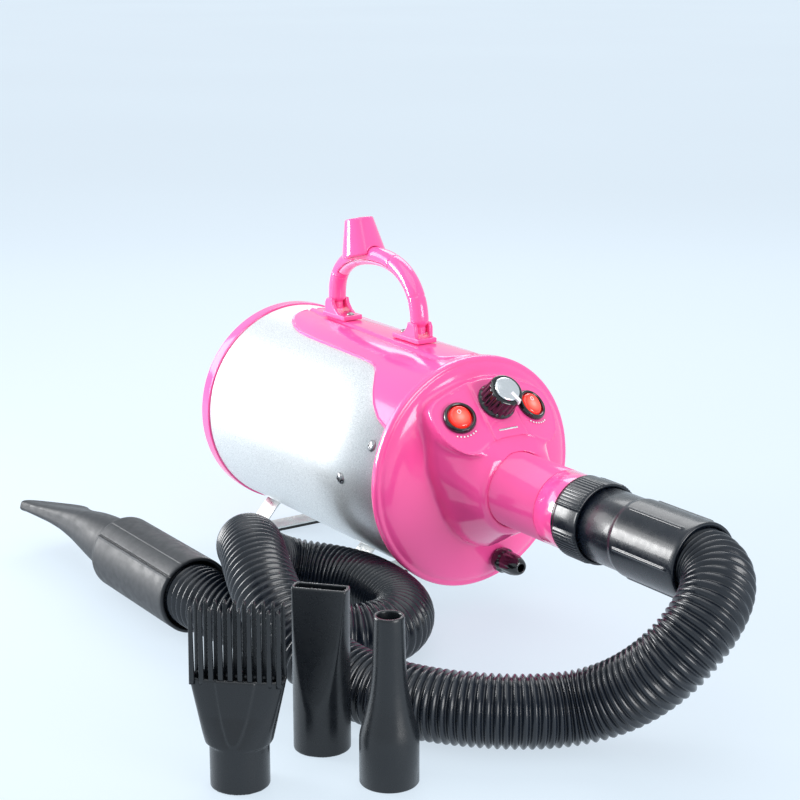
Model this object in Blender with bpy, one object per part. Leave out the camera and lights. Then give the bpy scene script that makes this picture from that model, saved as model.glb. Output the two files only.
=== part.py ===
"""Pet dryer: a horizontal barrel blower on strip-steel stands, with a carrying handle, a control panel on its
front cover, a corrugated hose with its end cuff and wide nozzle, and three loose nozzles that stand beside it.

Frame: +X along the air outlet, +Z up, origin on the floor under the middle of the front foot strip. Metres.
Run it with: blender --background --python part.py
"""

import math

import bmesh
import bpy
import numpy as np
from mathutils import Matrix, Vector

# Driving dimensions
GAP = 0.0003  # clearance left between two pieces that touch
BIG = 44  # sides of a round piece as wide as the barrel
AXIS_Z = 0.108  # height of the barrel's axis
BARREL_R = 0.0855
BARREL_WALL = 0.0015
BARREL_REAR_X = -0.1586
FLANGE_R = 0.090
FLANGE_BACK_X = 0.0952
CAP_R = 0.087
CAP_REAR_X = -0.174
INLET_R = 0.0665
SADDLE_R = 0.088
PIPE_R = 0.028
PIPE_WALL = 0.0025
PIPE_SPLIT_X = 0.2095
PIPE_END_X = 0.246
BOSS_FRONT_X = 0.158
COLLAR_X = (0.230, 0.256)
SLEEVE_END_X = 0.353
HOSE_R = 0.024
CUFF_R = 0.029
CUFF_X = (-0.089, 0.032)
CUFF_Y = -0.203
CUFF_Z = 0.0295
NOZZLE_BASE_R = 0.0183
STAND_WIDTH = 0.020
STAND_X = (0.0, -0.1484)
STRIP_T = 0.0015
FOOT_T = 0.0022

# The control panel: three flat facets, the middle one in the barrel's plane of symmetry.
PANEL_EDGE = Vector((0.149, 0.0, 0.146))  # middle of the panel's lower edge
PANEL_TILT = math.radians(43.3)  # of the panel's normal above +X
LOBE_TURN = math.radians(12.0)  # of each side facet, outwards
STRIP_HALF_WIDTH = 0.015
ROCKER_Y = {-1: 0.034, 1: 0.0312}  # the heat switch is a little further out than the fan switch
ROCKER_RISE = 0.0245  # from the panel's lower edge up to the switches, along the panel
KNOB_RISE = 0.0305

# Middle line of the hose, from inside the dryer's sleeve to inside the end cuff.
HOSE_ROUTE = [
    (0.335, 0.0, 0.108), (0.353, 0.0, 0.108), (0.3715, -0.006, 0.105), (0.386, -0.024, 0.0935),
    (0.387, -0.047, 0.0725), (0.375, -0.063, 0.052), (0.356, -0.077, 0.0348), (0.339, -0.095, 0.0258),
    (0.325, -0.120, 0.0244), (0.300, -0.150, 0.0244), (0.266, -0.174, 0.0244), (0.226, -0.190, 0.027),
    (0.186, -0.201, 0.039), (0.148, -0.204, 0.058), (0.114, -0.196, 0.072), (0.082, -0.183, 0.076),
    (0.050, -0.167, 0.066), (0.025, -0.145, 0.047), (0.017, -0.119, 0.031), (0.034, -0.093, 0.0247),
    (0.068, -0.0795, 0.0244), (0.106, -0.0805, 0.0244), (0.138, -0.091, 0.0244), (0.158, -0.114, 0.0244),
    (0.158, -0.140, 0.0244), (0.140, -0.162, 0.0244), (0.112, -0.178, 0.0246), (0.084, -0.190, 0.0255),
    (0.057, -0.199, 0.028), (0.032, -0.203, 0.0295), (0.008, -0.203, 0.0295), (-0.020, -0.203, 0.0295),
]

# Middle line of the handle, in the plane of symmetry: (x, z).
HANDLE_ROUTE = [
    (-0.090, 0.203), (-0.090, 0.218), (-0.087, 0.230), (-0.079, 0.240), (-0.066, 0.248), (-0.048, 0.253),
    (-0.027, 0.255), (-0.008, 0.253), (0.008, 0.247), (0.019, 0.238), (0.026, 0.227), (0.029, 0.215),
    (0.029, 0.203),
]
HANDLE_R = 0.0072
HANDLE_FEET = {"rear": (-0.099, -0.066), "front": (0.004, 0.040)}
FOOT_PLATE_Z = (0.1963, 0.2003)

PINK = (0.93, 0.14, 0.42)
BLACK = (0.012, 0.013, 0.015)
STEEL = (0.62, 0.63, 0.64)


# ---------------------------------------------------------------- helpers


def clear_scene():
    for old in list(bpy.data.objects):
        bpy.data.objects.remove(old, do_unlink=True)


def material(name, colour, roughness, metallic=0.0):
    made = bpy.data.materials.new(name)
    made.use_nodes = True
    shader = made.node_tree.nodes["Principled BSDF"]
    shader.inputs["Base Color"].default_value = (*colour, 1.0)
    shader.inputs["Roughness"].default_value = roughness
    shader.inputs["Metallic"].default_value = metallic
    return made


def add_object(name, bm, mat=None, smooth=True, cutter=False):
    """Turns the bmesh into a named object with outward normals; a cutter stays out of the model."""
    bmesh.ops.recalc_face_normals(bm, faces=bm.faces)
    mesh = bpy.data.meshes.new(name)
    bm.to_mesh(mesh)
    bm.free()
    obj = bpy.data.objects.new(name, mesh)
    bpy.context.scene.collection.objects.link(obj)
    if smooth:
        mesh.shade_smooth()
        mesh.set_sharp_from_angle(angle=math.radians(32))
    if mat:
        mesh.materials.append(mat)
    if cutter:
        obj.hide_render = True
        obj.display_type = "WIRE"
    return obj


def turned(profile, segments=28):
    """A solid turned about +X: profile holds (x, radius) points of a closed outline."""
    bm = bmesh.new()
    rings = []
    for x, radius in profile:
        if radius < 1e-6:
            rings.append([bm.verts.new((x, 0, 0))])
            continue
        turn = [2 * math.pi * i / segments for i in range(segments)]
        rings.append([bm.verts.new((x, radius * math.cos(a), radius * math.sin(a))) for a in turn])
    for here, there in zip(rings, rings[1:] + rings[:1]):
        if len(here) == 1 and len(there) == 1:
            continue
        for i in range(segments):
            j = (i + 1) % segments
            quad = [here[i % len(here)], here[j % len(here)], there[j % len(there)], there[i % len(there)]]
            bm.faces.new(list(dict.fromkeys(quad)))
    return bm


def lofted(rings):
    """A closed skin over rings of equal point count, with both ends capped."""
    bm = bmesh.new()
    rows = [[bm.verts.new(point) for point in ring] for ring in rings]
    count = len(rows[0])
    for here, there in zip(rows, rows[1:]):
        for i in range(count):
            j = (i + 1) % count
            bm.faces.new([here[i], here[j], there[j], there[i]])
    bm.faces.new(rows[0])
    bm.faces.new(rows[-1])
    return bm


def hollow_loft(outer, inner):
    """An open-ended tube wall between outer and inner rings, station by station."""
    bm = bmesh.new()
    out_rows = [[bm.verts.new(point) for point in ring] for ring in outer]
    in_rows = [[bm.verts.new(point) for point in ring] for ring in inner]
    count = len(out_rows[0])
    skins = list(zip(out_rows, out_rows[1:])) + list(zip(in_rows, in_rows[1:]))
    skins += [(out_rows[0], in_rows[0]), (out_rows[-1], in_rows[-1])]
    for here, there in skins:
        for i in range(count):
            j = (i + 1) % count
            bm.faces.new([here[i], here[j], there[j], there[i]])
    return bm


def boxed(low, high):
    bm = bmesh.new()
    size = Vector(high) - Vector(low)
    centre = (Vector(high) + Vector(low)) / 2
    bmesh.ops.create_cube(bm, size=1.0, matrix=Matrix.Translation(centre) @ Matrix.Diagonal((*size, 1.0)))
    return bm


def join_meshes(parts):
    """One bmesh holding separate bodies, such as a set of identical screws."""
    whole = bmesh.new()
    for part in parts:
        mesh = bpy.data.meshes.new("part")
        part.to_mesh(mesh)
        part.free()
        whole.from_mesh(mesh)
        bpy.data.meshes.remove(mesh)
    return whole


def moved(bm, matrix):
    bmesh.ops.transform(bm, matrix=matrix, verts=bm.verts)
    return bm


def boolean(target, tool, operation="DIFFERENCE"):
    cut = target.modifiers.new(tool.name, "BOOLEAN")
    cut.operation = operation
    cut.object = tool
    cut.solver = "EXACT"


def frame_along(origin, direction, up=(0, 0, 1)):
    """A matrix whose +X runs along direction from origin, with +Z as near to up as it can be."""
    x_axis = Vector(direction).normalized()
    y_axis = Vector(up).cross(x_axis)
    y_axis = y_axis.normalized() if y_axis.length > 1e-6 else Vector((0, 1, 0))
    z_axis = x_axis.cross(y_axis)
    turn = Matrix((x_axis, y_axis, z_axis)).transposed().to_4x4()
    return Matrix.Translation(origin) @ turn


def smooth_curve(points, spacing):
    """Points every spacing along a natural cubic spline through the given points."""
    knots = np.array(points, float)
    count = len(knots)
    chords = np.linalg.norm(np.diff(knots, axis=0), axis=1)
    at = np.concatenate([[0.0], np.cumsum(np.sqrt(chords))])
    step = np.diff(at)
    left = np.eye(count)
    right = np.zeros_like(knots)
    for i in range(1, count - 1):
        left[i, i - 1 : i + 2] = step[i - 1], 2 * (step[i - 1] + step[i]), step[i]
        right[i] = 6 * ((knots[i + 1] - knots[i]) / step[i] - (knots[i] - knots[i - 1]) / step[i - 1])
    bend = np.linalg.solve(left, right)
    fine = []
    for i in range(count - 1):
        for s in np.linspace(at[i], at[i + 1], 24, endpoint=i == count - 2):
            u, v, h = s - at[i], at[i + 1] - s, step[i]
            cubic = (bend[i] * v**3 + bend[i + 1] * u**3) / (6 * h)
            fine.append(cubic + (knots[i] / h - bend[i] * h / 6) * v + (knots[i + 1] / h - bend[i + 1] * h / 6) * u)
    fine = np.array(fine)
    run = np.concatenate([[0.0], np.cumsum(np.linalg.norm(np.diff(fine, axis=0), axis=1))])
    want = np.linspace(0, run[-1], round(run[-1] / spacing) + 1)
    return np.stack([np.interp(want, run, fine[:, k]) for k in range(3)], axis=1)


def on_axis(bm):
    """Lifts a turned piece onto the barrel's axis."""
    return moved(bm, Matrix.Translation((0, 0, AXIS_Z)))


# ---------------------------------------------------------------- barrel and covers


def make_barrel(steel):
    inner = BARREL_R - BARREL_WALL
    end = FLANGE_BACK_X - GAP
    bm = turned([(BARREL_REAR_X, BARREL_R), (end, BARREL_R), (end, inner), (BARREL_REAR_X, inner)], BIG)
    barrel = add_object("barrel", on_axis(bm), steel)
    tools = [moved(turned(pin_profile(0.0023, 0.012), 12), at) for at in barrel_screw_places()]
    boolean(barrel, add_object("barrel_screw_holes", join_meshes(tools), cutter=True))


def pin_profile(radius, half_length):
    return [(half_length, 0), (half_length, radius), (-half_length, radius), (-half_length, 0)]


def barrel_screw_places():
    """Two screws on each side near the front: each matrix has its +X along the outward radius."""
    places = []
    for x, degrees in ((0.084, 70.0), (0.048, 92.5)):
        for side in (-1, 1):
            turn = math.radians(degrees)
            out = Vector((0, side * math.sin(turn), math.cos(turn)))
            places.append(frame_along(Vector((x, 0, AXIS_Z)) + out * BARREL_R, out, (1, 0, 0)))
    return places


def pan_head(head_r, head_t, shank_r, shank_length):
    """A pan-head screw with its seat at x = 0 and its head towards +X."""
    seat = GAP
    return turned([
        (seat + head_t, 0), (seat + head_t, 0.55 * head_r), (seat + 0.6 * head_t, 0.93 * head_r), (seat, head_r),
        (seat, shank_r), (-shank_length, shank_r), (-shank_length, 0),
    ], 12)


def make_barrel_screws(steel):
    for number, at in enumerate(barrel_screw_places(), 1):
        add_object(f"barrel_screw_{number}", moved(pan_head(0.0045, 0.0022, 0.0019, 0.0012), at), steel)


def make_rear_cap(pink):
    inner = BARREL_R - BARREL_WALL - GAP
    front = BARREL_REAR_X - GAP
    add_object("rear_cap", on_axis(turned([
        (front, CAP_R), (CAP_REAR_X + 0.0045, CAP_R), (CAP_REAR_X + 0.0013, CAP_R - 0.0013),
        (CAP_REAR_X, CAP_R - 0.0045), (CAP_REAR_X, INLET_R), (CAP_REAR_X + 0.007, INLET_R),
        (CAP_REAR_X + 0.007, inner - 0.0027), (-0.146, inner - 0.0027), (-0.146, inner), (front, inner),
    ], BIG)), pink)


def polar_plate(radii, segments, open_bands, spokes, x_low, x_high):
    """A round plate whose open bands are cut through between its spokes."""
    bm = bmesh.new()
    faces = {}
    for side, x in enumerate((x_low, x_high)):
        rows = []
        for radius in radii:
            turn = [2 * math.pi * i / segments for i in range(segments)]
            rows.append([bm.verts.new((x, radius * math.cos(a), radius * math.sin(a))) for a in turn])
        faces[side] = rows
    every = segments // spokes
    filled = {(b, i) for b in range(len(radii) - 1) for i in range(segments)
              if b not in open_bands or i % every == 0}
    for band, i in filled:
        j = (i + 1) % segments
        for rows in faces.values():
            bm.faces.new([rows[band][i], rows[band][j], rows[band + 1][j], rows[band + 1][i]])
        edges = {
            (band - 1, i): ((band, i), (band, j)), (band + 1, i): ((band + 1, i), (band + 1, j)),
            (band, (i - 1) % segments): ((band, i), (band + 1, i)), (band, j): ((band, j), (band + 1, j)),
        }
        for neighbour, (a, b) in edges.items():
            if neighbour in filled:
                continue
            low, high = faces[0], faces[1]
            bm.faces.new([low[a[0]][a[1]], low[b[0]][b[1]], high[b[0]][b[1]], high[a[0]][a[1]]])
    for vert in [v for v in bm.verts if not v.link_faces]:
        bm.verts.remove(vert)
    return bm


def make_inlet(pink, foam, steel):
    radii = [0.006, 0.012, 0.0235, 0.0275, 0.0395, 0.0435, 0.060, INLET_R - 2 * GAP]
    grille = polar_plate(radii, 32, {1, 3, 5}, 8, CAP_REAR_X - 0.0005, CAP_REAR_X + 0.0035)
    add_object("inlet_grille", on_axis(grille), pink)
    sponge = (CAP_REAR_X + 0.0038, CAP_REAR_X + 0.0128)
    radius = INLET_R - 0.001
    add_object("filter_sponge", on_axis(turned([
        (sponge[1], 0), (sponge[1], radius), (sponge[0], radius), (sponge[0], 0),
    ], 24)), foam)
    guard = polar_plate([0.008, 0.014, 0.040, 0.044, 0.075, 0.0805], 24, {1, 3}, 6, -0.1600, -0.1575)
    add_object("filter_guard", on_axis(guard), steel)


# ---------------------------------------------------------------- front cover and control panel


def panel_frame(side):
    """Normal of a panel facet, and the direction up the panel. side is -1, 0 or 1 along Y."""
    up = Vector((-math.sin(PANEL_TILT), 0, math.cos(PANEL_TILT)))
    normal = Vector((math.cos(PANEL_TILT), 0, math.sin(PANEL_TILT)))
    if side:
        normal = Matrix.Rotation(side * LOBE_TURN, 3, up) @ normal
    return normal, up


def facet_point(side, along_y, rise):
    """A point on a facet: rise up the panel from its lower edge, at along_y from the plane of symmetry."""
    normal, up = panel_frame(side)
    if not side:
        return PANEL_EDGE + up * rise
    outward = up.cross(normal) * side
    reach = (abs(along_y) - STRIP_HALF_WIDTH) / abs(outward.y)
    return PANEL_EDGE + Vector((0, side * STRIP_HALF_WIDTH, 0)) + up * rise + outward * reach


def facet_matrix(side, along_y, rise):
    normal, up = panel_frame(side)
    return frame_along(facet_point(side, along_y, rise), normal, up)


def cut_flat(bm, point, normal):
    """Keeps what is behind a plane and closes the cut."""
    geometry = list(bm.verts) + list(bm.edges) + list(bm.faces)
    bmesh.ops.bisect_plane(bm, geom=geometry, plane_co=point, plane_no=normal, clear_outer=True)
    open_edges = [edge for edge in bm.edges if edge.is_boundary]
    bmesh.ops.holes_fill(bm, edges=open_edges)
    return bm


def panel_block(inset):
    """The wedge that carries the panel: two round lobes beside a middle strip, cut by the three facets."""
    half = [
        (0, 146.0), (15, 146.0), (22, 142.5), (30, 138.5), (37, 138.0), (44, 140.5), (50, 146.0), (53, 153.0),
        (54, 160.0), (53, 166.0), (48, 171.0), (42, 174.0), (30, 178.5), (16, 182.5), (0, 184.0),
    ]
    outline = [(y / 1000, z / 1000) for y, z in half]
    outline += [(-y, z) for y, z in outline[-2:0:-1]]
    middle = Vector((0, 0.162))
    shrunk = []
    for y, z in outline:
        away = Vector((y, z)) - middle
        away *= 1 - inset / away.length
        shrunk.append(away + middle)
    start = 0.100 - 12 * inset / 3
    bm = lofted([[(x, point.x, point.y) for point in shrunk] for x in (start, 0.175)])
    for side in (0, -1, 1):
        normal, _ = panel_frame(side)
        cut_flat(bm, PANEL_EDGE + Vector((0, side * STRIP_HALF_WIDTH, 0)) - normal * inset, normal)
    return bm


def boss_radius(turn):
    """The boss's outline where it meets the cover, by angle from straight down."""
    degrees = abs(math.degrees(turn))
    at = [0, 15, 30, 45, 60, 75, 90, 105, 115, 125, 135, 150, 165, 180]
    radius = [58, 54.5, 50.5, 47, 44.3, 43.3, 46, 52, 58, 66, 70, 60, 48, 42]
    return float(np.interp(degrees, at, radius)) / 1000


def outlet_boss(inset):
    """The boss around the outlet pipe, from a pear-shaped foot on the cover to a round front."""
    stations = [(0.100, 0.0), (0.112, 0.02), (0.124, 0.12), (0.136, 0.36), (0.146, 0.64), (0.153, 0.88),
                (BOSS_FRONT_X - 0.001, 1.0), (BOSS_FRONT_X, 1.12)]
    if inset:
        stations = [(x - inset, share) for x, share in stations]
        stations[0] = (0.088, 0.0)
    rings = []
    for x, share in stations:
        ring = []
        for i in range(32):
            turn = 2 * math.pi * i / 32 - math.pi
            radius = boss_radius(turn) * (1 - share) + 0.0335 * share - inset
            ring.append((x, radius * math.sin(turn), AXIS_Z - radius * math.cos(turn)))
        rings.append(ring)
    return lofted(rings)


GLAND_AT = Vector((0.1105, 0.020, 0.037))


def make_front_cover(pink):
    spigot = BARREL_R - BARREL_WALL - GAP
    profile = [
        (FLANGE_BACK_X, 0.0883), (0.0962, 0.0896), (0.099, FLANGE_R), (0.1016, 0.0892), (0.103, 0.087),
        (0.1034, 0.0835), (0.105, 0.0805), (0.1075, 0.076), (0.1093, 0.070), (0.1108, 0.060), (0.112, 0.048),
        (0.1126, 0.036), (0.1096, 0.036), (0.109, 0.048), (0.1078, 0.060), (0.1063, 0.069), (0.1043, 0.0745),
        (0.100, 0.0802), (FLANGE_BACK_X, 0.081), (0.080, 0.081), (0.080, spigot), (FLANGE_BACK_X, spigot),
    ]
    cover = add_object("front_cover", on_axis(turned(profile, BIG)), pink)
    pad = moved(turned([(0.0, 0), (0.0, 0.0096), (-0.0157, 0.0096), (-0.0157, 0)], 24),
                Matrix.Translation(GLAND_AT))
    boolean(cover, add_object("gland_pad", pad, cutter=True), "UNION")
    boolean(cover, add_object("panel_block", panel_block(0.0), cutter=True), "UNION")
    boolean(cover, add_object("outlet_boss", outlet_boss(0.0), cutter=True), "UNION")
    boolean(cover, add_object("panel_hollow", panel_block(0.003), cutter=True))
    boolean(cover, add_object("boss_hollow", outlet_boss(0.003), cutter=True))
    tools = [
        moved(turned(pin_profile(PIPE_R + GAP, 0.02), 28), Matrix.Translation((BOSS_FRONT_X, 0, AXIS_Z))),
        moved(turned(pin_profile(0.0053, 0.025), 24), Matrix.Translation(GLAND_AT)),
        moved(turned(pin_profile(0.0045, 0.01), 24), facet_matrix(0, 0, KNOB_RISE)),
    ]
    for side in (-1, 1):
        tools.append(moved(turned(pin_profile(0.0103, 0.01), 24), facet_matrix(side, ROCKER_Y[side], ROCKER_RISE)))
    boolean(cover, add_object("cover_holes", join_meshes(tools), cutter=True))


def make_switches(black, red):
    """Two round rocker switches: a bezel with a snap-in body, and a lit rocker on its own pivot."""
    for side, name in ((-1, "heat"), (1, "fan")):
        at = facet_matrix(side, ROCKER_Y[side], ROCKER_RISE)
        add_object(f"{name}_bezel", moved(turned([
            (GAP, 0.0125), (0.0022, 0.0125), (0.0035, 0.0114), (0.0035, 0.0095), (-0.004, 0.0095),
            (-0.004, 0.0030), (-0.0125, 0.0030), (-0.0125, 0.0100), (GAP, 0.0100),
        ], 24), at), black)
        rings = []
        for share in (-1.0, -0.8, -0.4, 0.0, 0.4, 0.8, 1.0):
            width = 0.0087 * share
            reach = math.sqrt(max(0.0087**2 - width**2, 0.0006**2))
            crown = 0.0046 - 0.0014 * (1 - share**2)
            rings.append([
                (-0.0015, width, -reach), (-0.0015, width, 0.0), (-0.0015, width, reach), (crown, width, reach),
                (crown - 0.0010, width, 0.0), (crown, width, -reach),
            ])
        rocker = add_object(f"{name}_rocker", lofted(rings), red, smooth=False)
        rocker.matrix_world = at


def make_speed_control(black, silver, steel):
    at = facet_matrix(0, 0, KNOB_RISE)
    knob = add_object("speed_knob", turned([
        (0.0006, 0.0046), (0.0006, 0.0150), (0.0022, 0.0152), (0.0040, 0.0140), (0.0170, 0.0132),
        (0.0182, 0.0122), (0.0182, 0.0), (0.0120, 0.0), (0.0120, 0.0046),
    ], 24), black)
    knob.matrix_world = at
    cap = turned([(0.0200, 0.0), (0.0200, 0.0092), (0.0190, 0.0100), (0.0185, 0.0100), (0.0185, 0.0)], 24)
    add_object("knob_cap", cap, silver).matrix_world = at
    pot = turned([
        (0.0115, 0.0), (0.0115, 0.0030), (0.0004, 0.0030), (0.0004, 0.0040), (-0.0040, 0.0040),
        (-0.0040, 0.0085), (-0.0130, 0.0085), (-0.0130, 0.0),
    ], 24)
    add_object("potentiometer", pot, steel).matrix_world = at


def make_gland(black):
    at = Matrix.Translation(GLAND_AT)
    add_object("cable_gland", moved(turned([
        (GAP, 0.0094), (0.0070, 0.0094), (0.0085, 0.0085), (0.0175, 0.0080), (0.0225, 0.0066), (0.0260, 0.0060),
        (0.0260, 0.0032), (-0.0210, 0.0032), (-0.0210, 0.0050), (GAP, 0.0050),
    ], 24), at), black)
    add_object("gland_nut", moved(turned([
        (-0.0160, 0.0069), (-0.0160, 0.0053), (-0.0197, 0.0053), (-0.0197, 0.0069),
    ], 12), at), black)


def make_outlet(pink):
    inner = PIPE_R - PIPE_WALL
    seat = BOSS_FRONT_X - 0.0045
    add_object("outlet_pipe", on_axis(turned([
        (0.140, PIPE_R), (seat - 0.003, PIPE_R), (seat - 0.003, 0.0298), (seat, 0.0298), (seat, PIPE_R),
        (PIPE_SPLIT_X, PIPE_R), (PIPE_SPLIT_X, inner), (0.140, inner),
    ])), pink)
    start = PIPE_SPLIT_X + GAP
    spigot = inner - GAP
    add_object("outlet_tip", on_axis(turned([
        (start, PIPE_R), (PIPE_END_X, PIPE_R), (PIPE_END_X, inner), (start + 0.008, inner),
        (start, spigot - 0.002), (start - 0.012, spigot - 0.002), (start - 0.012, spigot), (start, spigot),
    ])), pink)


# ---------------------------------------------------------------- top saddle and handle


def make_top_saddle(pink):
    """A thin shell on the barrel's top, a tongue at the rear that spreads into the front flange."""
    at = [-0.1300, -0.1285, -0.1250, -0.1180, -0.106, -0.090, -0.060, -0.024, 0.010, 0.026, 0.036, 0.046, 0.056,
          0.066, 0.080, FLANGE_BACK_X - GAP]
    half = [5, 9, 14, 18.5, 22.5, 25.2, 26.7, 27.6, 28.6, 29.5, 32, 38.5, 45.5, 51.5, 57, 60.3]
    steps = 12
    bm = bmesh.new()
    skins = []
    for radius in (BARREL_R + 2 * GAP, SADDLE_R):
        rows = []
        for x, degrees in zip(at, half):
            turns = [math.radians(degrees) * (2 * i / steps - 1) for i in range(steps + 1)]
            rows.append([bm.verts.new((x, radius * math.sin(a), AXIS_Z + radius * math.cos(a))) for a in turns])
        skins.append(rows)
    for rows in skins:
        for here, there in zip(rows, rows[1:]):
            for i in range(steps):
                bm.faces.new([here[i], here[i + 1], there[i + 1], there[i]])
    low, high = skins
    rim_low = low[0] + [row[-1] for row in low[1:-1]] + low[-1][::-1] + [row[0] for row in low[-2:0:-1]]
    rim_high = high[0] + [row[-1] for row in high[1:-1]] + high[-1][::-1] + [row[0] for row in high[-2:0:-1]]
    for i in range(len(rim_low)):
        j = (i + 1) % len(rim_low)
        bm.faces.new([rim_low[i], rim_low[j], rim_high[j], rim_high[i]])
    add_object("top_saddle", bm, pink)


def handle_stations(spacing=0.008):
    path = smooth_curve([(x, 0.0, z) for x, z in HANDLE_ROUTE], spacing)
    along = np.gradient(path, axis=0)
    along /= np.linalg.norm(along, axis=1)[:, None]
    inward = np.stack([along[:, 2], np.zeros(len(path)), -along[:, 0]], axis=1)
    return path, inward


def handle_ring(centre, inward, radius, inner_cut=None, outer_cut=None, width=None, sides=12):
    """One cross-section, round but for a flat where the grip insert meets the arch."""
    ring = []
    width = width or radius
    for i in range(sides):
        turn = 2 * math.pi * i / sides
        depth = radius * math.cos(turn)
        if inner_cut is not None:
            depth = min(depth, inner_cut)
        if outer_cut is not None:
            depth = max(depth, outer_cut)
        ring.append(tuple(np.array(centre) + inward * depth + np.array((0, width * math.sin(turn), 0))))
    return ring


GRIP_SPAN = (0.20, 0.86)  # share of the handle's length that carries the insert
GRIP_CUT = 0.0030


def make_handle(pink, pale):
    path, inward = handle_stations()
    count = len(path)
    first = round(GRIP_SPAN[0] * count)
    last = round(GRIP_SPAN[1] * count)
    rings = []
    for i in range(count):
        cut = GRIP_CUT if first <= i <= last else None
        end = path[i][2] < 0.2175
        rings.append(handle_ring(path[i], inward[i], HANDLE_R, inner_cut=cut, width=0.0048 if end else None))
    add_object("handle_arch", lofted(rings), pink)
    insert = [
        handle_ring(path[i], inward[i], HANDLE_R, outer_cut=GRIP_CUT + GAP) for i in range(first + 1, last)
    ]
    add_object("grip_insert", lofted(insert), pale)
    tool = [handle_ring(path[i], inward[i], HANDLE_R + GAP) for i in range(count)]
    return add_object("handle_clearance", lofted(tool), cutter=True)


def make_hose_rest(pink, clearance):
    """A short tapered post on the handle's crown, cupped at its top."""
    at = frame_along((-0.050, 0, 0.256), (-0.26, 0, 0.966), (0, 1, 0))
    rest = add_object("hose_rest", moved(turned([
        (-0.004, 0.0185), (0.027, 0.0120), (0.027, 0.0095), (0.017, 0.0105), (0.017, 0.0), (-0.004, 0.0),
    ], 24), at), pink)
    boolean(rest, clearance)


def make_handle_feet(pink, steel):
    low, high = FOOT_PLATE_Z
    for name, (x0, x1) in HANDLE_FEET.items():
        leg_x = HANDLE_ROUTE[0][0] if name == "rear" else HANDLE_ROUTE[-1][0]
        lean = 1 if name == "rear" else -1
        foot = add_object(f"handle_foot_{name}", boxed((x0, -0.009, low), (x1, 0.009, high)), pink, smooth=False)
        for side in (-1, 1):
            outline = [(leg_x - lean * 0.0065, high - 0.001), (leg_x + lean * 0.013, high - 0.001),
                       (leg_x + lean * 0.0065, 0.2075), (leg_x + lean * 0.0045, 0.2118),
                       (leg_x - lean * 0.0045, 0.2118), (leg_x - lean * 0.0065, 0.2075)]
            web = lofted([[(x, side * y, z) for x, z in outline] for y in (0.0052, 0.0088)])
            boolean(foot, add_object(f"web_{name}_{side}", web, cutter=True, smooth=False), "UNION")
        x = x1 - 0.0045 if name == "rear" else x0 + 0.0045
        seat = Matrix.Translation((x, 0, high)) @ Matrix.Rotation(-math.pi / 2, 4, "Y")
        add_object(f"handle_screw_{name}", moved(pan_head(0.003, 0.0016, 0.0014, high - low - 0.0002), seat), steel)
        hole = add_object(f"hole_{name}", moved(turned(pin_profile(0.0018, 0.01), 12), seat), cutter=True)
        boolean(foot, hole)


# ---------------------------------------------------------------- stands


def stand_loop(offset):
    """Outline of a bent strip frame in the YZ plane, offset inwards from its middle line."""
    top_r = BARREL_R + GAP + STRIP_T / 2
    base_z = FOOT_T + GAP + STRIP_T / 2
    top = [(y, AXIS_Z - math.sqrt(top_r**2 - y**2)) for y in (0.030, 0.022, 0.011, 0.0, -0.011, -0.022, -0.030)]
    loop = [Vector(point) for point in [(0.050, base_z), *top, (-0.050, base_z)]]
    shifted = []
    for before, here, after in zip(loop[-1:] + loop[:-1], loop, loop[1:] + loop[:1]):
        first = (here - before).normalized()
        second = (after - here).normalized()
        normals = Vector((-first.y, first.x)), Vector((-second.y, second.x))
        mitre = (normals[0] + normals[1]).normalized()
        shifted.append(here + mitre * (offset / mitre.dot(normals[0])))
    return shifted


def make_stands(steel, rubber):
    for name, middle in zip(("front", "rear"), STAND_X):
        low, high = middle - STAND_WIDTH / 2, middle + STAND_WIDTH / 2
        outer = [[(x, p.x, p.y) for p in stand_loop(-STRIP_T / 2)] for x in (low, high)]
        inner = [[(x, p.x, p.y) for p in stand_loop(STRIP_T / 2)] for x in (low, high)]
        stand = add_object(f"stand_{name}", hollow_loft(outer, inner), steel, smooth=False)
        foot = boxed((low, -0.052, 0.0), (high, 0.052, FOOT_T))
        add_object(f"foot_strip_{name}", foot, rubber, smooth=False)
        holes = []
        for side, y in (("left", 0.036), ("right", -0.036)):
            seat = Matrix.Translation((middle, y, FOOT_T + GAP + STRIP_T)) @ Matrix.Rotation(-math.pi / 2, 4, "Y")
            screw = moved(pan_head(0.0040, 0.0022, 0.0017, STRIP_T), seat)
            add_object(f"stand_screw_{name}_{side}", screw, steel)
            holes.append(moved(turned(pin_profile(0.0021, 0.0025), 12), seat))
        boolean(stand, add_object(f"stand_holes_{name}", join_meshes(holes), cutter=True))


# ---------------------------------------------------------------- motor and heater


def star_prism(hub, tip, blades, x_low, x_high, thickness):
    """Radial blades around a hub, as one prism along X."""
    outline = []
    for i in range(blades):
        for radius, shift in ((hub, -1.6), (tip, -0.5), (tip, 0.5), (hub, 1.6)):
            turn = 2 * math.pi * i / blades + shift * thickness / radius
            sweep = 0.35 if radius == tip else 0.0
            outline.append((radius * math.cos(turn + sweep), radius * math.sin(turn + sweep)))
    return lofted([[(x, y, z) for y, z in outline] for x in (x_low, x_high)])


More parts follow.
